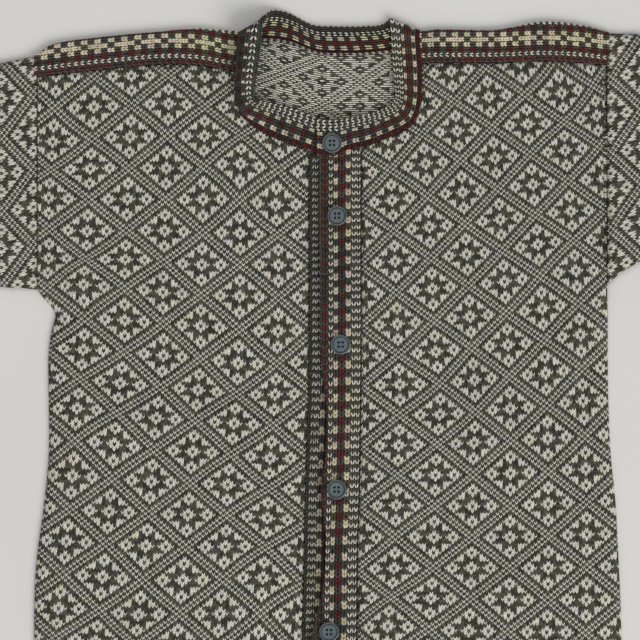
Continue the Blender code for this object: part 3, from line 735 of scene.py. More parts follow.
def front(name, sign, stitches, rows_of_chart, seed):
    """A front. sign is -1 for the one on the viewer's left."""
    solid = Solid(name)
    side_end, inner_end = (0, 1) if sign < 0 else (1, 0)
    neck_x = -85.5 if sign < 0 else 100.5
    top = solid.reach(0, neck_x, 1)[1]
    ys = np.linspace(solid.low[1] + 0.1, top - 0.3, round((top - solid.low[1]) / GRID))
    ys = np.sort(np.concatenate([ys, np.arange(*SHOULDER_LINES)]))
    lines = []
    for y in ys:
        side = solid.reach(1, min(y, SLEEVE_TOP_Y), 0)[side_end]
        inner = solid.reach(1, y, 0)[inner_end]
        flat = np.linspace(side - sign * ROLL, inner, FRONT_STEPS)
        roll = ease((UNDERARM_Y - y) / ROLL_GROWS)
        turn = np.linspace(math.pi / 2, 0, ROLL_STEPS, endpoint=False)
        out = roll * np.sin(turn) + (1 - roll) * turn / (math.pi / 2)
        xs = np.concatenate([side - sign * ROLL * (1 - out), flat])
        share = ease((y - FOLLOW_Y) / (top - FOLLOW_Y))
        followed = np.full(len(xs), y)
        if share > 0:
            within = np.clip(xs, *sorted((sign * SIDE_X, neck_x)))
            edge = np.array([solid.reach(0, x, 1)[1] for x in within])
            followed = y + share * (edge - top)
        heights = []
        for x, at in zip(xs, followed):
            inside = np.clip(x, min(side, inner) + 0.6, max(side, inner) - 0.6)
            height = solid.top(inside, max(at - 0.4, solid.low[1] + 0.4))
            heights.append(np.nan if height is None else height)
        heights = np.array(heights)
        known = ~np.isnan(heights)
        heights = np.interp(np.arange(len(xs)), np.flatnonzero(known), heights[known])
        at_roll = heights[ROLL_STEPS]
        rolled = FOOT + (at_roll - FOOT) * np.cos(turn)
        heights[:ROLL_STEPS] = roll * rolled + (1 - roll) * at_roll
        lines.append(np.stack([xs, followed, heights], axis=1))
    grid = np.array(lines)
    if sign > 0:
        grid = grid[:, ::-1]
    grid = smoothed(grid, 2)
    x, y = grid[..., 0], grid[..., 1]
    sides = (abs(x - x[:, :1]), abs(x - x[:, -1:]), abs(y - y[:1]), abs(y - y[-1:]))
    fading = ease(np.minimum.reduce(sides) / FLAT_RIM)
    grid[..., 2] += fading * (crease_height(x, y) + DENT_DEPTH * dents(x, y, seed))
    return cloth(name + "_knit", grid, front_numbers(grid, stitches, rows_of_chart), FAIR_ISLE)


right_front = front("right_front", -1, RIGHT_STITCHES, RIGHT_ROWS, 3)
left_front = front("left_front", 1, LEFT_STITCHES, LEFT_ROWS, 4)
belongs(right_front, ["right_front"])
belongs(left_front, ["left_front"])

# %% [markdown]
# ## The back
# One panel, flat on the table. Its right side faces down, and through the neck its wrong side shows,
# where the yarn that isn't knitted floats behind the stitches in short strands.


# %% Back
BACK_FLOWER = (0.1, 283.3)  # the middle of one lozenge, seen through the neck
BACK_STITCH, BACK_ROW = 3.16, 2.03
BACK_SAG = 0.125  # how the rows rise towards the wearer's right
BACK_COLUMNS, BACK_LINES = 110, 120
BACK_HEIGHT = 2.9  # of its upper face


def back():
    solid = Solid("back")
    shares = np.linspace(-1, 1, BACK_COLUMNS)
    tops = np.array([solid.reach(0, x, 1)[1] for x in np.clip(shares * 284.5, -284.5, 284.5)])
    base = tops.min()
    lines = []
    for y in np.linspace(solid.low[1] + 0.1, base, BACK_LINES):
        low, high = solid.reach(1, min(y, base - 1.0), 0)
        xs = (low + high) / 2 + shares * (high - low) / 2
        share = ease((y - 225.0) / (base - 225.0))
        followed = y + share * (tops - base)
        lines.append(np.stack([xs, followed, np.full(BACK_COLUMNS, BACK_HEIGHT)], axis=1))
    grid = smoothed(np.array(lines), 1)
    x, y = grid[..., 0], grid[..., 1]
    grid[..., 2] += 0.25 * dents(x, y, 8)
    flower_x, flower_y = BACK_FLOWER
    sagged = y - flower_y - BACK_SAG * (np.sqrt(x * x + 100.0) - x - 10.0)
    numbers = np.stack([(x - flower_x) / BACK_STITCH + 0.5, sagged / BACK_ROW], axis=-1)
    return cloth("back_knit", grid, numbers, FLOATS, inside=FAIR_ISLE)


back_panel = back()
belongs(back_panel, ["back"])

# %% [markdown]
# ## The sleeves
# Each sleeve is a tube pressed flat. A plane across the arm cuts its solid in an outline, which is
# walked round and divided evenly, and those rings become one grid whose last column meets its first.


# %% Walking round an outline
FOLD_Z = 3.1  # height of the fold along an arm


def walk(loop, start, towards, places, shares=False):
    """Points at those places along a loop, and its length. It is walked from the corner nearest to
    start, towards a point. Places are in millimetres, or shares of the length."""
    first = int(np.argmin(np.linalg.norm(loop - start, axis=1)))
    course = towards - loop[first]
    ahead, behind = (loop[(first + step) % len(loop)] - loop[first] for step in (1, -1))
    forward = np.roll(loop, -first, axis=0)
    backward = np.roll(loop[::-1], -(len(loop) - 1 - first), axis=0)
    runs = ahead @ course / np.linalg.norm(ahead) > behind @ course / np.linalg.norm(behind)
    ordered = forward if runs else backward
    closed = np.vstack([ordered, ordered[:1]])
    lengths = np.concatenate([[0.0], np.cumsum(np.linalg.norm(np.diff(closed, axis=0), axis=1))])
    if shares:
        places = places * lengths[-1]
    points = np.stack([np.interp(places, lengths, closed[:, axis]) for axis in range(3)], axis=1)
    return points, lengths[-1]


def arm_rings(name, sign, end_gap, count, steps):
    """Rings round a flat tube, from the body out, each walked from the tube's upper fold. Each comes
    with its place along the arm, the lowest and highest y, and the way round it so far."""
    solid = Solid(name)
    ends = sorted((solid.low[0], solid.high[0]), key=abs)
    shares = np.linspace(0, 1, steps)
    for x in np.linspace(ends[0] + sign * end_gap, ends[1] - sign * end_gap, count):
        lower, upper = solid.reach(0, x, 1)
        start = np.array((x, upper, FOLD_Z))
        loop = solid.outline(0, x, start)
        ring, around = walk(loop, start, np.array((x, upper - 20, 12.0)), shares, shares=True)
        yield ring, x, lower, upper, shares * around


# %% Sleeves
SLEEVE_RINGS, SLEEVE_STEPS = 96, 96
SLEEVE_DENTS = 1.3


def sleeve(name, sign, seed):
    rings, numbers = [], []
    for ring, x, lower, upper, along in arm_rings(name, sign, 0.05, SLEEVE_RINGS, SLEEVE_STEPS):
        rings.append(ring)
        place = (along - (upper - (upper + lower) / 2)) / STITCH
        numbers.append(np.stack([place + 0.5, np.full(SLEEVE_STEPS, abs(x) / ROW)], axis=1))
    grid = np.array(rings)
    closing = grid[:, :1].copy()
    grid = smoothed(grid, 3, axis=0)
    grid[:, :1] = grid[:, -1:] = closing
    x, y, z = grid[..., 0], grid[..., 1], grid[..., 2]
    upper_side = ease((z - 3.0) / 3.0)
    inside = ease((abs(x) - 290) / 40) * ease((750 - abs(x)) / 40)
    grid[..., 2] += upper_side * inside * SLEEVE_DENTS * dents(x, y, seed)
    return cloth(name + "_knit", grid, np.array(numbers), FAIR_ISLE, close=True)


right_sleeve = sleeve("right_sleeve", -1, 21)
left_sleeve = sleeve("left_sleeve", 1, 22)
belongs(right_sleeve, ["right_sleeve"])
belongs(left_sleeve, ["left_sleeve"])

# %% [markdown]
# ## Strips with real stitches
# The bands, the straps and the neckband are knitted coarser, and there every leg of every stitch is
# modelled. One leg is shaped from a small sphere, and copies of it are laid on both sides of each
# stitch, bent to the strip's surface. They are joined into one mesh for each strip.

# %% One leg of a stitch
bpy.ops.object.select_all(action="DESELECT")
bpy.ops.mesh.primitive_uv_sphere_add(segments=5, ring_count=5, radius=1.0)
leg_of_yarn = take_back("leg of yarn")
bpy.ops.object.mode_set(mode="EDIT")
bpy.ops.mesh.select_all(action="DESELECT")
bpy.ops.object.mode_set(mode="OBJECT")
for vertex in leg_of_yarn.data.vertices:
    vertex.select = 0.5 < abs(vertex.co.z) < 0.95
bpy.ops.object.mode_set(mode="EDIT")
bpy.ops.transform.resize(value=(1.35, 1.35, 1.0))
bpy.ops.object.mode_set(mode="OBJECT")
LEG = np.array([vertex.co[:] for vertex in leg_of_yarn.data.vertices])
LEG_FACES = [tuple(face.vertices) for face in leg_of_yarn.data.polygons]
bpy.data.objects.remove(leg_of_yarn)
print(len(LEG), "points in a leg,", sum(len(f) - 2 for f in LEG_FACES), "triangles")


# %% A strip
class Strip:
    """The outer face of a knitted strip: lines across it, each walked from the same edge."""

    STEP = 1.0  # between the points of a line

    def __init__(self, lines, smoothing=3):
        self.grid = smoothed(np.array(lines), smoothing)
        along = np.gradient(self.grid, axis=0)
        across = np.gradient(self.grid, axis=1)
        normals = np.cross(across, along)
        normals /= np.linalg.norm(normals, axis=2)[..., None] + 1e-9
        middle = self.grid.shape[1] // 4
        if normals[:, middle, 2].mean() < 0:
            normals = -normals
        self.normals = normals
        line = self.grid[:, middle]
        steps = np.linalg.norm(np.diff(line, axis=0), axis=1)
        self.lengths = np.concatenate([[0.0], np.cumsum(steps)])
        self.length = self.lengths[-1]

    def at(self, along, across, height):
        """Places in millimetres along and across the strip, and above it."""
        i = np.interp(along, self.lengths, np.arange(len(self.lengths)))
        j = np.clip(across / self.STEP, 0, self.grid.shape[1] - 1.001)
        i = np.clip(i, 0, len(self.lengths) - 1.001)
        i0, j0 = i.astype(int), j.astype(int)
        p, q = (i - i0)[..., None], (j - j0)[..., None]

        def between(field):
            low = field[i0, j0] * (1 - q) + field[i0, j0 + 1] * q
            high = field[i0 + 1, j0] * (1 - q) + field[i0 + 1, j0 + 1] * q
            return low * (1 - p) + high * p

        return between(self.grid) + height[..., None] * between(self.normals)


# %% Laying the stitches
def yarn_finish(name):
    """Plied wool: two plies wind round each leg, in the leg's own colour, with shade painted into the
    grooves between the plies.
    """
    finish = Finish(name, 0.9)
    x, y, z = finish.split(finish.attribute("strand"))
    turned = y.maths("ARCTAN2", x)
    plies = (turned * 2.0 + z * 5.0).maths("SINE") * 0.5 + 0.5
    fuzz = wool_fuzz(finish)
    colour = finish.attribute("yarn")
    bright = (0.80 + plies * 0.22) * (0.70 + fuzz * 0.60)
    return finish.finish(finish.shade(colour, bright), plies * 0.4 + fuzz * 0.6, 0.35)


YARN = yarn_finish("plied wool")


DRIFT = 20.0  # from one leaning of a yarn to the next


def heather_colours(random, yarns, along):
    """A colour for each stitch: its yarn's leanings, drifting along the strip."""
    places = np.arange(0, along.max() + 2 * DRIFT, DRIFT)
    leanings = random.uniform(-0.49, 3.49, int(along.max() / DRIFT) + 3)[: len(places)]
    drift = np.interp(along, places, leanings)
    chosen = np.clip(np.rint(drift + random.uniform(-0.9, 0.9, len(along))), 0, 3).astype(int)
    colours = np.array([YARNS[yarn][k] for yarn, k in zip(yarns, chosen)])
    return colours * random.uniform(0.78, 1.12, len(along))[:, None]


LEAN_FROM = 360  # a band's columns are less pushed under this place along it
LEG_SHAPE = {  # of each yarn, in stitches: a leg's thickness, how far out its tip is, its length
    "n": (0.160, 0.40, 1.28),
    "c": (0.225, 0.31, 1.32),
    "r": (0.215, 0.34, 1.50),
    "k": (0.185, 0.23, 1.25),
    "b": (0.215, 0.34, 1.50),
    "m": (0.150, 0.34, 1.40),
    "d": (0.215, 0.42, 1.50),
    "g": (0.215, 0.42, 1.50),
}


def even_rows(strip, pitch, first_row=0.0):
    """Numbers and places of rows that are one pitch apart, counted from the place of row 0."""
    rows = np.arange(math.ceil(-first_row / pitch), math.floor((strip.length - first_row) / pitch + 0.5))
    return rows, first_row + rows * pitch


ROW_SCATTER, SIDE_SCATTER, LIFT_SCATTER = 0.16, 0.12, 0.08  # hand knitting is a little uneven
PURL_FOOT, PURL_SPREAD, PURL_THICKNESS, PURL_LIGHT = 0.22, 0.05, 0.13, 0.04


def lay_stitches(name, strip, columns, numbered, chart, seed, tip=1, fat=1.0, purl=(), grime=1.0, lean=()):
    """Stitches in columns along a strip, each with two legs.

    columns holds (place, width) across the strip, and numbered the rows' numbers and places along it.
    chart(column, row) gives a yarn's letter. tip is -1 where the stitches were worked towards the
    strip's start. Columns in purl show the wrong side. fat makes all legs thicker. The colour factor
    scales their colours: a change of tone, and on the lower band painted shade where it lies under the
    upper band. lean says how far each column is pushed along."""
    random = np.random.default_rng(seed)
    rows, places = numbered
    stitches = [(c, r) for c in range(len(columns)) for r in rows]
    c = np.array([s[0] for s in stitches])
    r = np.array([s[1] for s in stitches])
    place = np.array([columns[k][0] for k in c])
    width = np.array([columns[k][1] for k in c])
    foot = places[r - rows[0]] + random.normal(0, ROW_SCATTER, len(c))
    pitch = np.gradient(places)[r - rows[0]][:, None]
    if lean:
        foot = foot + np.array(lean)[c] * np.clip((foot - LEAN_FROM) / 50, 0.35, 1.0)
    yarns = [chart(a, b) for a, b in stitches]
    colours = heather_colours(random, yarns, foot - foot.min()) * grime
    lying = np.isin(c, purl)
    width_of, tip_of, length_of = np.array([LEG_SHAPE[letter] for letter in yarns]).T[:, :, None]
    a = ((LEG[:, 2] + 1) / 2)[None, :]
    spread = np.where(lying[:, None], PURL_FOOT + PURL_SPREAD * a, 0.09 + (tip_of - 0.09) * a**0.85)
    reach = np.where(lying[:, None], -0.3 + 1.5 * a, -0.28 + length_of * a)
    lift = 1.15 * np.sin(math.pi * np.clip(a, 0.02, 0.98) ** 0.9) - 0.55
    thin = PURL_THICKNESS + PURL_LIGHT * np.array([letter in "bc" for letter in yarns])
    points, yarn, strand = [], [], []
    for side in (-1, 1):
        thick = np.where(lying, thin, width_of[:, 0]) * fat * random.uniform(0.92, 1.1, len(c))
        lateral = side * spread + LEG[None, :, 0] * thick[:, None]
        along = foot[:, None] + tip * reach * pitch
        aside = random.normal(0, SIDE_SCATTER, len(c))[:, None]
        across = place[:, None] + lateral * width[:, None] + aside
        height = lift + LEG[None, :, 1] * fat + random.normal(0, LIFT_SCATTER, len(c))[:, None]
        points.append(strip.at(along, across, height).reshape(-1, 3))
        yarn.append(np.repeat(colours, len(LEG), axis=0))
        strand.append(np.tile(LEG, (len(c), 1)))
    points, yarn, strand = (np.concatenate(part) for part in (points, yarn, strand))
    points[:, 2] = np.maximum(points[:, 2], LOWEST / MM)
    count = len(points) // len(LEG)
    faces = [tuple(k + n * len(LEG) for k in face) for n in range(count) for face in LEG_FACES]
    mesh = bpy.data.meshes.new(name)
    mesh.from_pydata(points * MM, [], faces)
    for label, values in (("yarn", yarn), ("strand", strand)):
        layer = mesh.attributes.new(label, "FLOAT_VECTOR", "POINT")
        layer.data.foreach_set("vector", values.ravel())
    made = bpy.data.objects.new(name, mesh)
    bpy.context.scene.collection.objects.link(made)
    mesh.materials.append(YARN)
    only(made)
    face_outwards()
    mesh.shade_smooth()
    return made


# %% [markdown]
# ## The ground of a strip
# Under the stitches lies the strip itself, a plain wall painted near black as the shade in the gaps
# between the legs, so that the gaps look deep and closed. It is the strip's own outline, walked all round.

# %% Ground
# Near black: painted shade, seen in the gaps between the legs.
GROUND_SHADE_COLOUR = (0.030, 0.029, 0.026)


def ground_finish():
    finish = Finish("ground in painted shade", 0.95)
    fuzz = wool_fuzz(finish)
    colour = finish.ramp(fuzz, (0.3, tuple(0.6 * c for c in GROUND_SHADE_COLOUR)), (0.7, GROUND_SHADE_COLOUR))
    return finish.finish(colour, fuzz, 0.3)


SHADED_GROUND = ground_finish()
SUNK = 0.7  # how far the ground lies under the solid's face


def ground(name, rings):
    """A closed body through rings, sunk a little inside the outline they come from."""
    grid = np.array(rings)
    grid = np.concatenate([grid, grid[:, :1]], axis=1)
    body, _, _ = grid_of(name, grid, SHADED_GROUND)
    bpy.ops.object.mode_set(mode="EDIT")
    bpy.ops.mesh.select_all(action="SELECT")
    bpy.ops.mesh.remove_doubles(threshold=0.001 * MM)
    bpy.ops.mesh.select_all(action="DESELECT")
    bpy.ops.mesh.select_non_manifold()
    bpy.ops.mesh.fill_holes(sides=0)
    bpy.ops.mesh.select_all(action="SELECT")
    bpy.ops.mesh.normals_make_consistent(inside=False)
    bpy.ops.transform.shrink_fatten(value=-SUNK * MM)
    bpy.ops.object.mode_set(mode="OBJECT")
    body.data.shade_smooth()
    return body


# %% [markdown]
# ## The front bands
# Both bands are the same strip, seven stitches wide. From the seam out: two columns of natural
# against charcoal in every second row, a column of cream blocks, one of dark red, cream again, a
# narrow natural one and, along the free edge, dark red against grey. The lower band is the mirror
# image and was worked the other way. Both are stretched below the chest, so their rows lie closer
# together near the neck.

# %% Band chart
BAND_WIDTHS = (4.8, 5.2, 6.3, 6.6, 5.4, 4.6, 6.8, 4.6, 5.2)  # from the seam round the free edge
BAND_LEAN = (1.0, 0.8, 0.0, -2.4, -2.6, -1.9, -1.4, -1.2, -1.0)  # how far each column is pushed along
UNDER_WIDTHS = (2.5, 4.1, 4.3, 6.0, 6.6, 5.4, 5.0)  # the lower band, from its seam


def band_yarn(column, row):
    beat = row % 4
    if column in (0, 1, 5):
        return "n" if beat % 2 == 0 else "d"
    if column in (2, 4):
        return "c" if beat < 2 else "g"
    if column == 3:
        return "r" if beat > 1 else "g"
    if column == 6:
        return "r" if beat % 2 == 0 else "g"
    return "d"


def under_band_yarn(column, row):
    """The same chart behind one dark column that is half taken into the seam."""
    return band_yarn(column - 1, row) if column else "d"


def columns_of(widths, start=0.4):
    """The place and width of each column."""
    found = []
    for width in widths:
        found.append((start + width / 2, width))
        start += width
    return found


# %% Bands
BAND_PITCHES = (  # height on the garment, and how far apart the rows are there
    (-352, 4.0),
    (-225, 4.0),
    (-185, 4.14),
    (-145, 3.96),
    (-50, 3.93),
    (-15, 4.1),
    (20, 4.0),
    (60, 3.6),
    (118, 3.4),
    (215, 3.4),
)
UNDER_PITCHES = (
    (-352, 3.75),
    (-140, 3.75),
    (-118, 4.2),
    (-60, 4.2),
    (-20, 3.95),
    (20, 3.7),
    (100, 3.55),
    (113, 3.26),
    (215, 3.26),
)
BAND_ROW_0, UNDER_ROW_0 = 114.5, 113.4  # height of row 0 on the garment
BAND_LINE = 5.0  # between the outlines that are walked
BAND_END = 0.3  # the first outline is this far inside a strip's end
BAND_RING, STRAP_RING = 90, 110  # points round a strip's ground
ABOVE = 60.0  # height of a place over every piece
BAND_TUCK = 9.0  # the upper end, which runs straight on under the neckband


def band_lines(solid, seam_high, length, ring=False):
    """Lines across a band, from the seam over the top to the free edge and under it."""
    lines = []
    low, high = solid.low[1] + BAND_END, solid.high[1] - BAND_TUCK
    for y in np.arange(low, high, BAND_LINE).tolist() + [high]:
        x_low, x_high = solid.reach(1, y, 0)
        seam = x_high if seam_high else x_low
        start = np.array((seam, y, ABOVE))
        loop = solid.outline(1, y, start)
        at_seam = loop[abs(loop[:, 0] - seam) < 0.6]
        start = at_seam[int(np.argmax(at_seam[:, 2]))]
        inwards = np.array((seam + (-8 if seam_high else 8), y, start[2]))
        round_it = np.linspace(0, 1, BAND_RING, endpoint=False)
        places = round_it if ring else np.arange(0, length, Strip.STEP)
        lines.append(walk(loop, start, inwards, places, shares=ring)[0])
    for _ in np.arange(BAND_LINE / 2, BAND_TUCK, BAND_LINE / 2):
        lines.append(lines[-1] + np.array((0.0, BAND_LINE / 2, 0.0)))
    return lines


def band_rows(pitches, first_row, foot, length):
    """Numbers and places of a band's rows, counted from the height of row 0 on the garment."""
    heights, sizes = np.array(pitches, float).T
    ys = np.arange(foot, foot + length, 0.5)
    number = np.cumsum(0.5 / np.interp(ys, heights, sizes))
    number -= np.interp(first_row, ys, number)
    rows = np.arange(math.ceil(number[0]), math.floor(number[-1]))
    return rows, np.interp(rows, number, ys) - foot


def front_band(name, seam_high, pitches, first_row, widths, chart, **look):
    """The ground and the stitches of a band. look goes on to lay_stitches."""
    solid = Solid(name)
    base = ground(name + "_ground", band_lines(solid, seam_high, 0, ring=True))
    strip = Strip(band_lines(solid, seam_high, sum(widths) + 8.0))
    numbered = band_rows(pitches, first_row, solid.low[1] + BAND_END, strip.length + 3)
    stitches = lay_stitches(name + "_stitches", strip, columns_of(widths), numbered, chart, **look)
    for piece in (base, stitches):
        belongs(piece, [name])
    return base, stitches


upper = (BAND_PITCHES, BAND_ROW_0, BAND_WIDTHS, band_yarn)
under = (UNDER_PITCHES, UNDER_ROW_0, UNDER_WIDTHS, under_band_yarn)
upper_band = front_band("buttonhole_band", True, *upper, seed=31, grime=0.93, lean=BAND_LEAN)
# The lower band's colours are darkened by 0.70 as painted shade where it lies under the upper band.
lower_band = front_band("button_band", False, *under, seed=32, grime=0.70, tip=-1)

# %% [markdown]
# ## The shoulder straps
# A strap runs from the armhole to the neck and folds over the top of the shoulder. Its stitches lie
# on their side, and its chart is a row of small crosses in cream between dark red blocks.

# %% Straps
STRAP_WIDTHS = (5.3, 4.5, 5.6, 5.0, 4.9, 5.0, 5.6, 4.6, 5.2, 5.0)
STRAP_REPEAT = 8  # rows
STRAP_TUCK = 3.4  # how far each end runs on under the neckband and into the armhole seam


def strap_yarn(column, row):
    block = (row % STRAP_REPEAT) // 2
    if column in (0, 8):
        return "r" if row % 2 == 0 else "g"
    if column in (1, 7):
        return "n" if row % 2 == 0 else "d"
    if column in (2, 6):
        return "r" if block in (1, 3) else "g"
    if column in (3, 5):
        return "c" if block in (0, 2) else "g"
    if column == 4:
        return "d" if block == 2 else "c"
    return "d"


def shoulder_strap(name, cross_x, repeat, seed):
    """The ground and the stitches of a strap. A cross lies at cross_x, and the next a repeat on."""
    solid = Solid(name)
    lines, rings = [], []
    low, high = solid.low[0] + BAND_END, solid.high[0] - BAND_END
    for x in np.arange(low, high, BAND_LINE).tolist() + [high]:
        lower = solid.reach(0, x, 1)[0]
        loop = solid.outline(0, x, np.array((x, lower, ABOVE)))
        at_edge = loop[abs(loop[:, 1] - lower) < 0.3]
        start = at_edge[int(np.argmax(at_edge[:, 2]))]
        inwards = np.array((x, lower + 10, start[2] + 0.5))
        places = np.arange(0, sum(STRAP_WIDTHS) + 3, Strip.STEP)
        lines.append(walk(loop, start, inwards, places)[0])
        round_it = np.linspace(0, 1, STRAP_RING, endpoint=False)
        rings.append(walk(loop, start, inwards, round_it, shares=True)[0])
    for part in (lines, rings):
        part.insert(0, part[0] - np.array((STRAP_TUCK, 0.0, 0.0)))
        part.append(part[-1] + np.array((STRAP_TUCK, 0.0, 0.0)))
    low -= STRAP_TUCK
    base = ground(name + "_ground", rings)
    strip = Strip(lines, smoothing=2)
    pitch = repeat / STRAP_REPEAT
    numbered = even_rows(strip, pitch, (cross_x - pitch - low) % repeat - repeat)
    columns = columns_of(STRAP_WIDTHS, 0.6)
    look = {"seed": seed, "fat": 1.04, "grime": 1.08}
    stitches = lay_stitches(name + "_stitches", strip, columns, numbered, strap_yarn, **look)
    for piece in (base, stitches):
        belongs(piece, [name])
    return base, stitches


right_strap = shoulder_strap("right_shoulder_strap", -223.5, 26.9, 41)
left_strap = shoulder_strap("left_shoulder_strap", 109.0, 24.2, 42)

# %% [markdown]
# ## The neckband
# One strip goes all round the neck. It stands up on the wearer's right, lies on the table across the
# back and overlaps itself at the front. Its sewn and its free edge are the ones its solid was made
# from, and the strip bows between them. Where it stands, its free edge turns under, and there most
# of the light columns of its outer face, and all of its inner face, are painted grey as shade.

# %% Neckband
NECK_WALL = 4.4
NECK_ROWS = (  # sewn edge x, y, z, free edge x, y, z, at the middle of the wall, and how high it bows
    (-5, 209.5, 10.6, -5, 242, 10.6, 10.6),
    (12, 206.8, 10.6, 11, 242, 10.6, 10.6),
    (28, 214.6, 10.4, 26.5, 243, 10.4, 10.4),
    (42, 217.4, 7.6, 38.5, 246.5, 8.2, 7.6),
    (55, 222.4, 5.7, 50, 248.5, 6.4, 5.7),
    (73, 229.6, 5.5, 62.5, 254, 6.2, 5.5),
    (87, 237, 5.5, 70.5, 257.5, 6.5, 5.5),
    (94.5, 245.5, 5.5, 74, 263, 6.8, 5.5),
    (98.5, 258, 5.5, 75, 268.5, 7, 5.5),
    (100, 275, 5.5, 74.5, 279.5, 7, 5.5),
    (100, 295, 5.5, 73, 297, 7, 5.5),
    (99, 312, 5.8, 71.5, 313.5, 7.2, 5.8),
    (98, 325, 6.8, 70.5, 329, 8, 6.8),
    (97.5, 331.5, 5.2, 69, 342.5, 5.8, 5.2),
    (95, 327, 2.7, 66, 341.5, 2.8, 2.7),
    (88, 321.5, 2.4, 64, 340, 2.5, 2.4),
    (78, 316.5, 2.3, 58, 337.5, 2.4, 2.3),
    (66, 313.8, 2.3, 50, 336.6, 2.4, 2.3),
    (48, 312.2, 2.3, 36, 336, 2.4, 2.3),
    (23, 311.2, 2.3, 15, 336, 2.4, 2.3),
    (-2, 312.2, 2.3, -7, 337, 2.4, 2.3),
    (-17, 317.2, 2.3, -19, 342, 2.4, 2.3),
    (-32, 323.2, 2.3, -30, 347.8, 2.8, 2.3),
    (-48, 325.8, 2.3, -42, 351.5, 4.2, 3),
    (-62, 326.8, 2.4, -52, 351, 7.5, 6),
    (-74, 328.5, 3, -58, 345, 14, 18),
    (-80.5, 330, 4.6, -61.5, 336, 19, 28),
    (-82, 324, 5.5, -62.5, 324.5, 20.5, 32),
    (-83, 310, 5.5, -64, 309, 21, 33),
    (-84, 292, 5.5, -66.5, 291, 21, 33),
    (-83.8, 275, 5.5, -69, 276.5, 20, 31),
    (-82, 261, 5.5, -70, 266.5, 17.5, 27),
    (-78, 249, 5.5, -65.5, 261.5, 14, 20),
    (-68, 238.4, 5.5, -55, 259.5, 10, 11),
    (-54, 229.4, 5.5, -42, 257, 7.5, 6),
    (-33, 220.6, 5.5, -24, 251.5, 6.5, 5.5),
    (-14, 214.4, 5.5, -5, 244, 5.8, 5.5),
    (2, 208.5, 5.5, 8, 241.5, 5.5, 5.5),
    (27, 213.4, 5.5, 27, 242, 5.5, 5.5),
)
NECK_STEPS = 5
STEEP = 0.40  # how near its foot the standing part bends


def through_knots(knots):
    """A smooth line that passes through every knot."""
    padded = np.vstack([2 * knots[0] - knots[1], knots, 2 * knots[-1] - knots[-2]])
    line = []
    for i in range(1, len(padded) - 2):
        p0, p1, p2, p3 = padded[i - 1 : i + 3]
        for t in np.arange(NECK_STEPS) / NECK_STEPS:
            bend = t * t * (p0 - 2.5 * p1 + 2 * p2 - 0.5 * p3) + t**3 * (1.5 * (p1 - p2) + 0.5 * (p3 - p0))
            line.append(p1 + 0.5 * t * (p2 - p0) + bend)
    line.append(padded[-2])
    return np.array(line)


def neck_outlines():
    """Rings round the neckband: its outer face from the sewn edge, its free edge, its inner face."""
    knots = np.array(NECK_ROWS, float)
    sewn, free, bow = through_knots(knots[:, :3]), through_knots(knots[:, 3:6]), through_knots(knots[:, 6:])
    along = np.gradient((sewn + free) / 2, axis=0)
    rings = []
    for s, f, high, tangent in zip(sewn, free, bow[:, 0], along):
        share = 0.5 - STEEP * np.clip((high - 11) / 22, 0, 1)
        bend = np.array((*(s + share * (f - s))[:2], high))
        over, under = [], []
        for t in np.linspace(0, 1, 9):
            place = (1 - t) ** 2 * s + 2 * t * (1 - t) * bend + t * t * f
            normal = np.cross(tangent, 2 * (1 - t) * (bend - s) + 2 * t * (f - bend))
            normal *= NECK_WALL / 2 / np.linalg.norm(normal)
            over.append(place + normal)
            under.append(place - normal)
        tip = f + 0.45 * NECK_WALL * (f - bend) / np.linalg.norm(f - bend)
        rings.append(np.array(over + [tip] + under[::-1]))
    return rings


NECK_WIDTHS = (4.6, 6.6, 5.4, 4.6, 5.3, 5.3)  # from the sewn edge
NECK_INNER_WIDTHS = (3.2, 2.4, 5.2, 4.8, 5.0, 5.0, 4.0)
NECK_LAP = 3.2  # how far the wrong side runs on over the back, past the seam
NECK_PITCH = 3.13
# These rows are painted partly grey as the shade on the standing part.
STANDING = range(115, 147)  # the rows of the part that stands up and turns its edge under


def neck_yarn(column, row):
    beat = row % 4
    if column == 0:
        return "r" if beat % 2 == 0 else "m"
    # Painted shade: where the band stands, these columns are grey.
    if row in STANDING and (column in (1, 5) or (column == 3 and beat)):
        return "g"
    if column in (1, 3):
        return "k" if beat < 2 else "g"
    if column == 2:
        return "r" if beat > 1 else "g"
    if column in (4, 5):
        return "n" if beat % 2 == 0 else "d"
    return "d"


def neck_inner_yarn(column, row):
    """The wrong side: strands of cream and red, and small natural dots beside both edges."""
    # Painted shade: the inner face of the standing part is all grey.
    if row in STANDING:
        return "g"
    if column in (0, 5):
        return "n" if row % 2 == 0 else "g"
    if column == 1:
        return "r"
    turned = neck_yarn(column - 1, row)
    return "g" if column == 6 else {"r": "b", "k": "c"}.get(turned, turned)


def neck_line(ring, from_sewn):
    """Evenly spaced points across one face. The outer one goes on over the free edge."""
    half = len(ring) // 2
    part = ring[: half + 1] if from_sewn else ring[half + 1 :][::-1]
    if not from_sewn:
        onwards = part[0] - part[1]
        onwards *= NECK_LAP / np.linalg.norm(onwards)
        part = np.vstack([part[:1] + onwards - np.array((0.0, 0.0, 0.9)), part])
    lengths = np.concatenate([[0.0], np.cumsum(np.linalg.norm(np.diff(part, axis=0), axis=1))])
    shares = np.linspace(0, lengths[-1], 36)
    return np.stack([np.interp(shares, lengths, part[:, axis]) for axis in range(3)], axis=1)


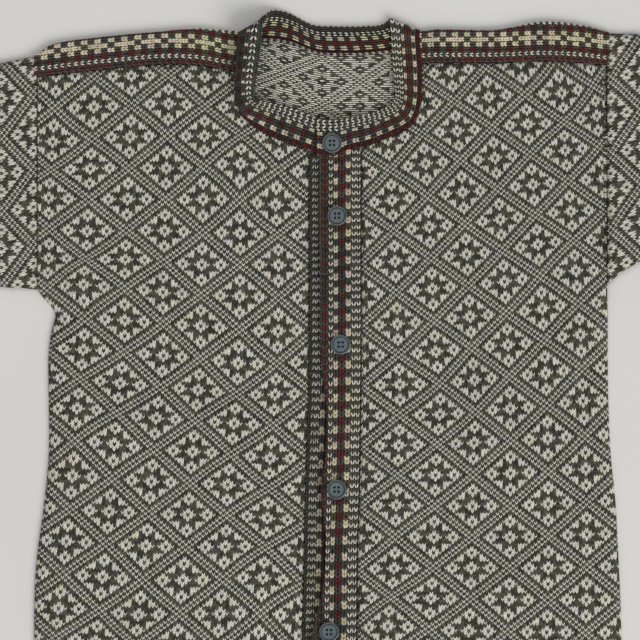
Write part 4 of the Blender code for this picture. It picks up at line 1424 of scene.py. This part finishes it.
def neckband():
    rings = neck_outlines()
    base = ground("neckband_ground", rings)
    pieces = [base]
    for label, from_sewn in (("outer", True), ("inner", False)):
        strip = Strip([neck_line(ring, from_sewn) for ring in rings], smoothing=1)
        lengths = [np.linalg.norm(np.diff(line, axis=0), axis=1).sum() for line in strip.grid]
        if label == "inner":
            strip.normals = -strip.normals if strip.normals[40, 8, 2] > 0 else strip.normals
        widths = NECK_WIDTHS if from_sewn else NECK_INNER_WIDTHS
        fit = (strip.grid.shape[1] - 1) / (sum(widths) + (0.6 if from_sewn else 0.0))
        columns = [(place * fit, width * fit) for place, width in columns_of(widths, 0.0)]
        purl = () if from_sewn else tuple(range(len(widths)))
        chart = neck_yarn if from_sewn else neck_inner_yarn
        numbered = even_rows(strip, NECK_PITCH)
        look = {"seed": 50 + len(pieces), "purl": purl}
        pieces.append(lay_stitches("neckband_" + label, strip, columns, numbered, chart, **look))
        print("neckband", label, "is", round(float(np.mean(lengths)), 1), "mm across")
    for piece in pieces:
        belongs(piece, ["neckband"])
    return pieces


neckband_pieces = neckband()

# %% [markdown]
# ## Welts and cuffs
# The hem and the wrists are ribbed: two columns knitted, two purled, so that the knitted ones stand
# up in cords and draw the cloth in. The ribs are shaped in the sheet, and the same stitch relief
# covers them in charcoal alone.


# %% Ribbed finish
def ribbed_cloth():
    finish = Finish("ribbed wool", MATTE)
    column, row, off, across = stitch_at(finish)
    leg = leg_height(across, off, 0.85, 0.55)
    fuzz = wool_fuzz(finish)
    uneven = finish.chance(finish.point(column, row))
    colour = heather(finish, CHARCOAL, column, row, 0.09)
    # Painted shade between the legs.
    colour = finish.shade(colour, lit(GAP_DARK, 1.1, leg, uneven, fuzz))
    return finish.finish(colour, leg + fuzz * 0.35, RELIEF)


RIBBED = ribbed_cloth()
RIB_PITCH = 12.5  # from one cord to the next
RIB_HEIGHT = 1.2

# %% [markdown]
# A welt is as wide as its solid. Its cords are one long wave across it, the same in every row, and
# its lower edge is rounded off. The back's welt lies face down and shows flat.


# %% Welts
WELT_STEPS = 260
WELT_TOP = 6.2  # of a front welt's face, between its cords
WELT_EDGE, WELT_DROP = 1.6, 0.8  # the lower edge is rounded off over this width, by this height


def welt(name, sign):
    """A welt. sign is -1 and 1 for the fronts, whose sides roll down, and 0 for the flat back."""
    solid = Solid(name)
    low, high = solid.low[1] + 0.1, solid.high[1] - 0.1
    x_low, x_high = solid.reach(1, (low + high) / 2, 0)
    xs = np.linspace(x_low, x_high, WELT_STEPS)
    side, inner = (x_low, x_high) if sign < 0 else (x_high, x_low)
    ribs = (xs - inner) * 2 * math.pi / RIB_PITCH
    ribbed = RIB_HEIGHT * abs(sign) * (0.5 - 0.5 * np.cos(ribs + 1.2))
    drop = np.clip((abs(xs - inner) - (abs(side - inner) - ROLL)) / ROLL, 0, 1)
    lines = []
    for y in np.concatenate([[low, low + 0.6], np.linspace(low + 1.4, high, 14)]):
        edge = ease((y - low) / WELT_EDGE)
        z = (WELT_TOP if sign else BACK_HEIGHT) + ribbed * edge - WELT_DROP * (1 - edge)
        if sign:
            z = FOOT + (z - FOOT) * np.sqrt(np.clip(1 - drop**2, 0, 1))
        lines.append(np.stack([xs, np.full(WELT_STEPS, y), z], axis=1))
    grid = np.array(lines)
    numbers = np.stack([grid[..., 0] / STITCH, grid[..., 1] / ROW], axis=-1)
    return cloth(name + "_knit", grid, numbers, RIBBED)


welts = []
for node, sign in (("right_front_welt", -1), ("left_front_welt", 1), ("back_welt", 0)):
    welts.append(welt(node, sign))
    belongs(welts[-1], [node])


# %% Cuffs
CUFF_RINGS, CUFF_STEPS = 18, 200


def cuff(name, sign):
    rings, numbers = [], []
    for ring, x, _, _, along in arm_rings(name, sign, 0.1, CUFF_RINGS, CUFF_STEPS):
        rings.append(ring)
        numbers.append(np.stack([along / STITCH, np.full(CUFF_STEPS, abs(x) / ROW)], axis=1))
    return cloth(name + "_knit", np.array(rings), np.array(numbers), RIBBED, close=True)


cuffs = []
for node, sign in (("right_cuff", -1), ("left_cuff", 1)):
    cuffs.append(cuff(node, sign))
    belongs(cuffs[-1], [node])

# %% [markdown]
# ## The buttons
# Five turned buttons in slate plastic. Each has a raised rim, a groove inside it and a slightly
# dished middle with four holes. The profile is one vertex drawn out with extrude and spun, and the holes are
# drilled with cylinders. Two bars of thread cross the holes, and thread is wound under the button.


# %% Button finish
def button_finish():
    finish = Finish("slate plastic", 0.34)
    cloud = finish.noise(finish.place(), 160.0, 4.0)
    colour = finish.ramp(cloud, (0.3, (0.080, 0.104, 0.112)), (0.7, (0.100, 0.126, 0.134)))
    fine = finish.noise(finish.place(), 2500.0, 2.0)
    return finish.finish(colour, fine, 0.03)


SLATE = button_finish()
BUTTON_PROFILE = (  # radius, height, down the outer side from the middle of the top
    (0.0, 3.0),
    (6.2, 3.1),
    (6.9, 3.2),
    (7.25, 2.95),
    (7.5, 2.3),
    (7.9, 2.1),
    (8.2, 2.6),
    (8.55, 3.75),
    (9.0, 4.2),
    (9.45, 4.0),
    (9.8, 3.3),
    (9.98, 2.6),
    (9.6, 1.9),
    (7.6, 0.0),
    (0.0, 0.0),
)
HOLE_RADIUS = 1.35
HOLE_SPACING = 4.0
THREAD = 0.5  # radius of the thread that shows between the holes
SHANK = 3.6  # radius of the thread wound under the button


def cylinder(at, radius, depth, sides, **turned):
    radius, depth = radius * MM, depth * MM
    bpy.ops.mesh.primitive_cylinder_add(vertices=sides, radius=radius, depth=depth, location=at, **turned)
    return bpy.context.object


def button(number):
    node = f"button_{number}"
    low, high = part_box(node)
    middle, foot = (low + high) / 2, low.z
    place = Vector((middle.x, middle.y, foot))
    bpy.ops.object.select_all(action="DESELECT")
    bpy.ops.mesh.primitive_plane_add(size=1 * MM, location=place)
    made = take_back(node + "_turned")
    bpy.ops.object.transform_apply(location=True, rotation=False, scale=False)
    bpy.ops.object.mode_set(mode="EDIT")
    bpy.ops.mesh.select_all(action="SELECT")
    bpy.ops.mesh.merge(type="CENTER")
    bpy.ops.transform.translate(value=(0, 0, BUTTON_PROFILE[0][1] * MM))
    for (r0, h0), (r1, h1) in zip(BUTTON_PROFILE, BUTTON_PROFILE[1:]):
        step = ((r1 - r0) * MM, 0, (h1 - h0) * MM)
        bpy.ops.mesh.extrude_region_move(TRANSFORM_OT_translate={"value": step})
    bpy.ops.mesh.select_all(action="SELECT")
    bpy.ops.mesh.spin(steps=64, angle=2 * math.pi, center=place, axis=(0, 0, 1))
    bpy.ops.mesh.select_all(action="SELECT")
    bpy.ops.mesh.remove_doubles(threshold=0.005 * MM)
    bpy.ops.mesh.normals_make_consistent(inside=False)
    bpy.ops.object.mode_set(mode="OBJECT")
    for across in (-0.5, 0.5):
        for up in (-0.5, 0.5):
            hole = place + Vector((across * HOLE_SPACING, up * HOLE_SPACING, 2)) * MM
            drill = cylinder(hole, HOLE_RADIUS, 12, 24)
            use(made, "BOOLEAN", operation="DIFFERENCE", object=drill)
            bpy.data.objects.remove(drill)
    made.data.materials.clear()
    made.data.materials.append(SLATE)
    bpy.ops.object.shade_smooth_by_angle(angle=math.radians(35))
    sewing = []
    for across in (-0.5, 0.5):
        at = place + Vector((across * HOLE_SPACING, 0, 3.0)) * MM
        sewing.append(cylinder(at, THREAD, HOLE_SPACING - HOLE_RADIUS, 12, rotation=(math.pi / 2, 0, 0)))
        sewing[-1].data.materials.append(SLATE)
    # The thread wound under the button is real, and its colour is the ground's near-black painted shade, so
    # the holes look dark.
    sewing.append(cylinder(place + Vector((0, 0, 0.7)) * MM, SHANK, 1.2, 32))
    sewing[-1].data.materials.append(SHADED_GROUND)
    only(*sewing, made)
    bpy.ops.object.join()
    belongs(made, [node])
    return made


buttons = [button(number) for number in range(1, 6)]
print(len(buttons), "buttons")

# %% [markdown]
# ## Flat sizes
# A knitter writes down what each piece measures flat before it is sewn, and so does this script.

# %% The cut of each piece
SHEETS = (  # the piece, its flat size and area in metres, what it lies on, and its other pieces
    (right_front, (0.29, 0.60), 0.165, ["back_knit"], ()),
    (left_front, (0.29, 0.60), 0.165, ["back_knit"], ()),
    (back_panel, (0.58, 0.62), 0.350, ["table"], ()),
    (right_sleeve, (0.50, 0.466), 0.165, ["table"], ()),
    (left_sleeve, (0.50, 0.466), 0.165, ["table"], ()),
    (upper_band[0], (0.044, 0.567), 0.0249, ["button_band_ground"], upper_band[1:]),
    (lower_band[0], (0.044, 0.567), 0.0249, ["left_front_knit"], lower_band[1:]),
    (right_strap[0], (0.048, 0.20), 0.0096, ["right_front_knit"], right_strap[1:]),
    (left_strap[0], (0.048, 0.187), 0.0089, ["left_front_knit"], left_strap[1:]),
    (neckband_pieces[0], (0.030, 0.60), 0.018, ["back_knit"], neckband_pieces[1:]),
    (welts[0], (0.29, 0.06), 0.0174, ["back_welt_knit"], ()),
    (welts[1], (0.29, 0.06), 0.0174, ["back_welt_knit"], ()),
    (welts[2], (0.58, 0.06), 0.0348, ["table"], ()),
    (cuffs[0], (0.066, 0.24), 0.0158, ["table"], ()),
    (cuffs[1], (0.066, 0.24), 0.0158, ["table"], ()),
)

# %% Table
bpy.ops.object.select_all(action="DESELECT")
bpy.ops.mesh.primitive_plane_add(size=8.0, location=(0, 0, -0.0002))
table = take_back("table")
bpy.ops.object.transform_apply(location=True, rotation=False, scale=False)


def table_finish():
    finish = Finish("pale table", 0.8)
    cloud = finish.noise(finish.place(), 3.0, 2.0)
    colour = finish.ramp(cloud, (0.3, (0.635, 0.63, 0.61)), (0.7, (0.665, 0.66, 0.64)))
    fine = finish.noise(finish.place(), 400.0, 2.0)
    return finish.finish(colour, fine, 0.05)


table.data.materials.append(table_finish())
table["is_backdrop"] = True

for piece, flat, area, under, others in SHEETS:
    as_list(under)
    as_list(others)

# %% Finish
boxes = {"cad": CAD_BOX, "visual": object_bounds()}
{name: [list(corner) for corner in box] for name, box in boxes.items()}
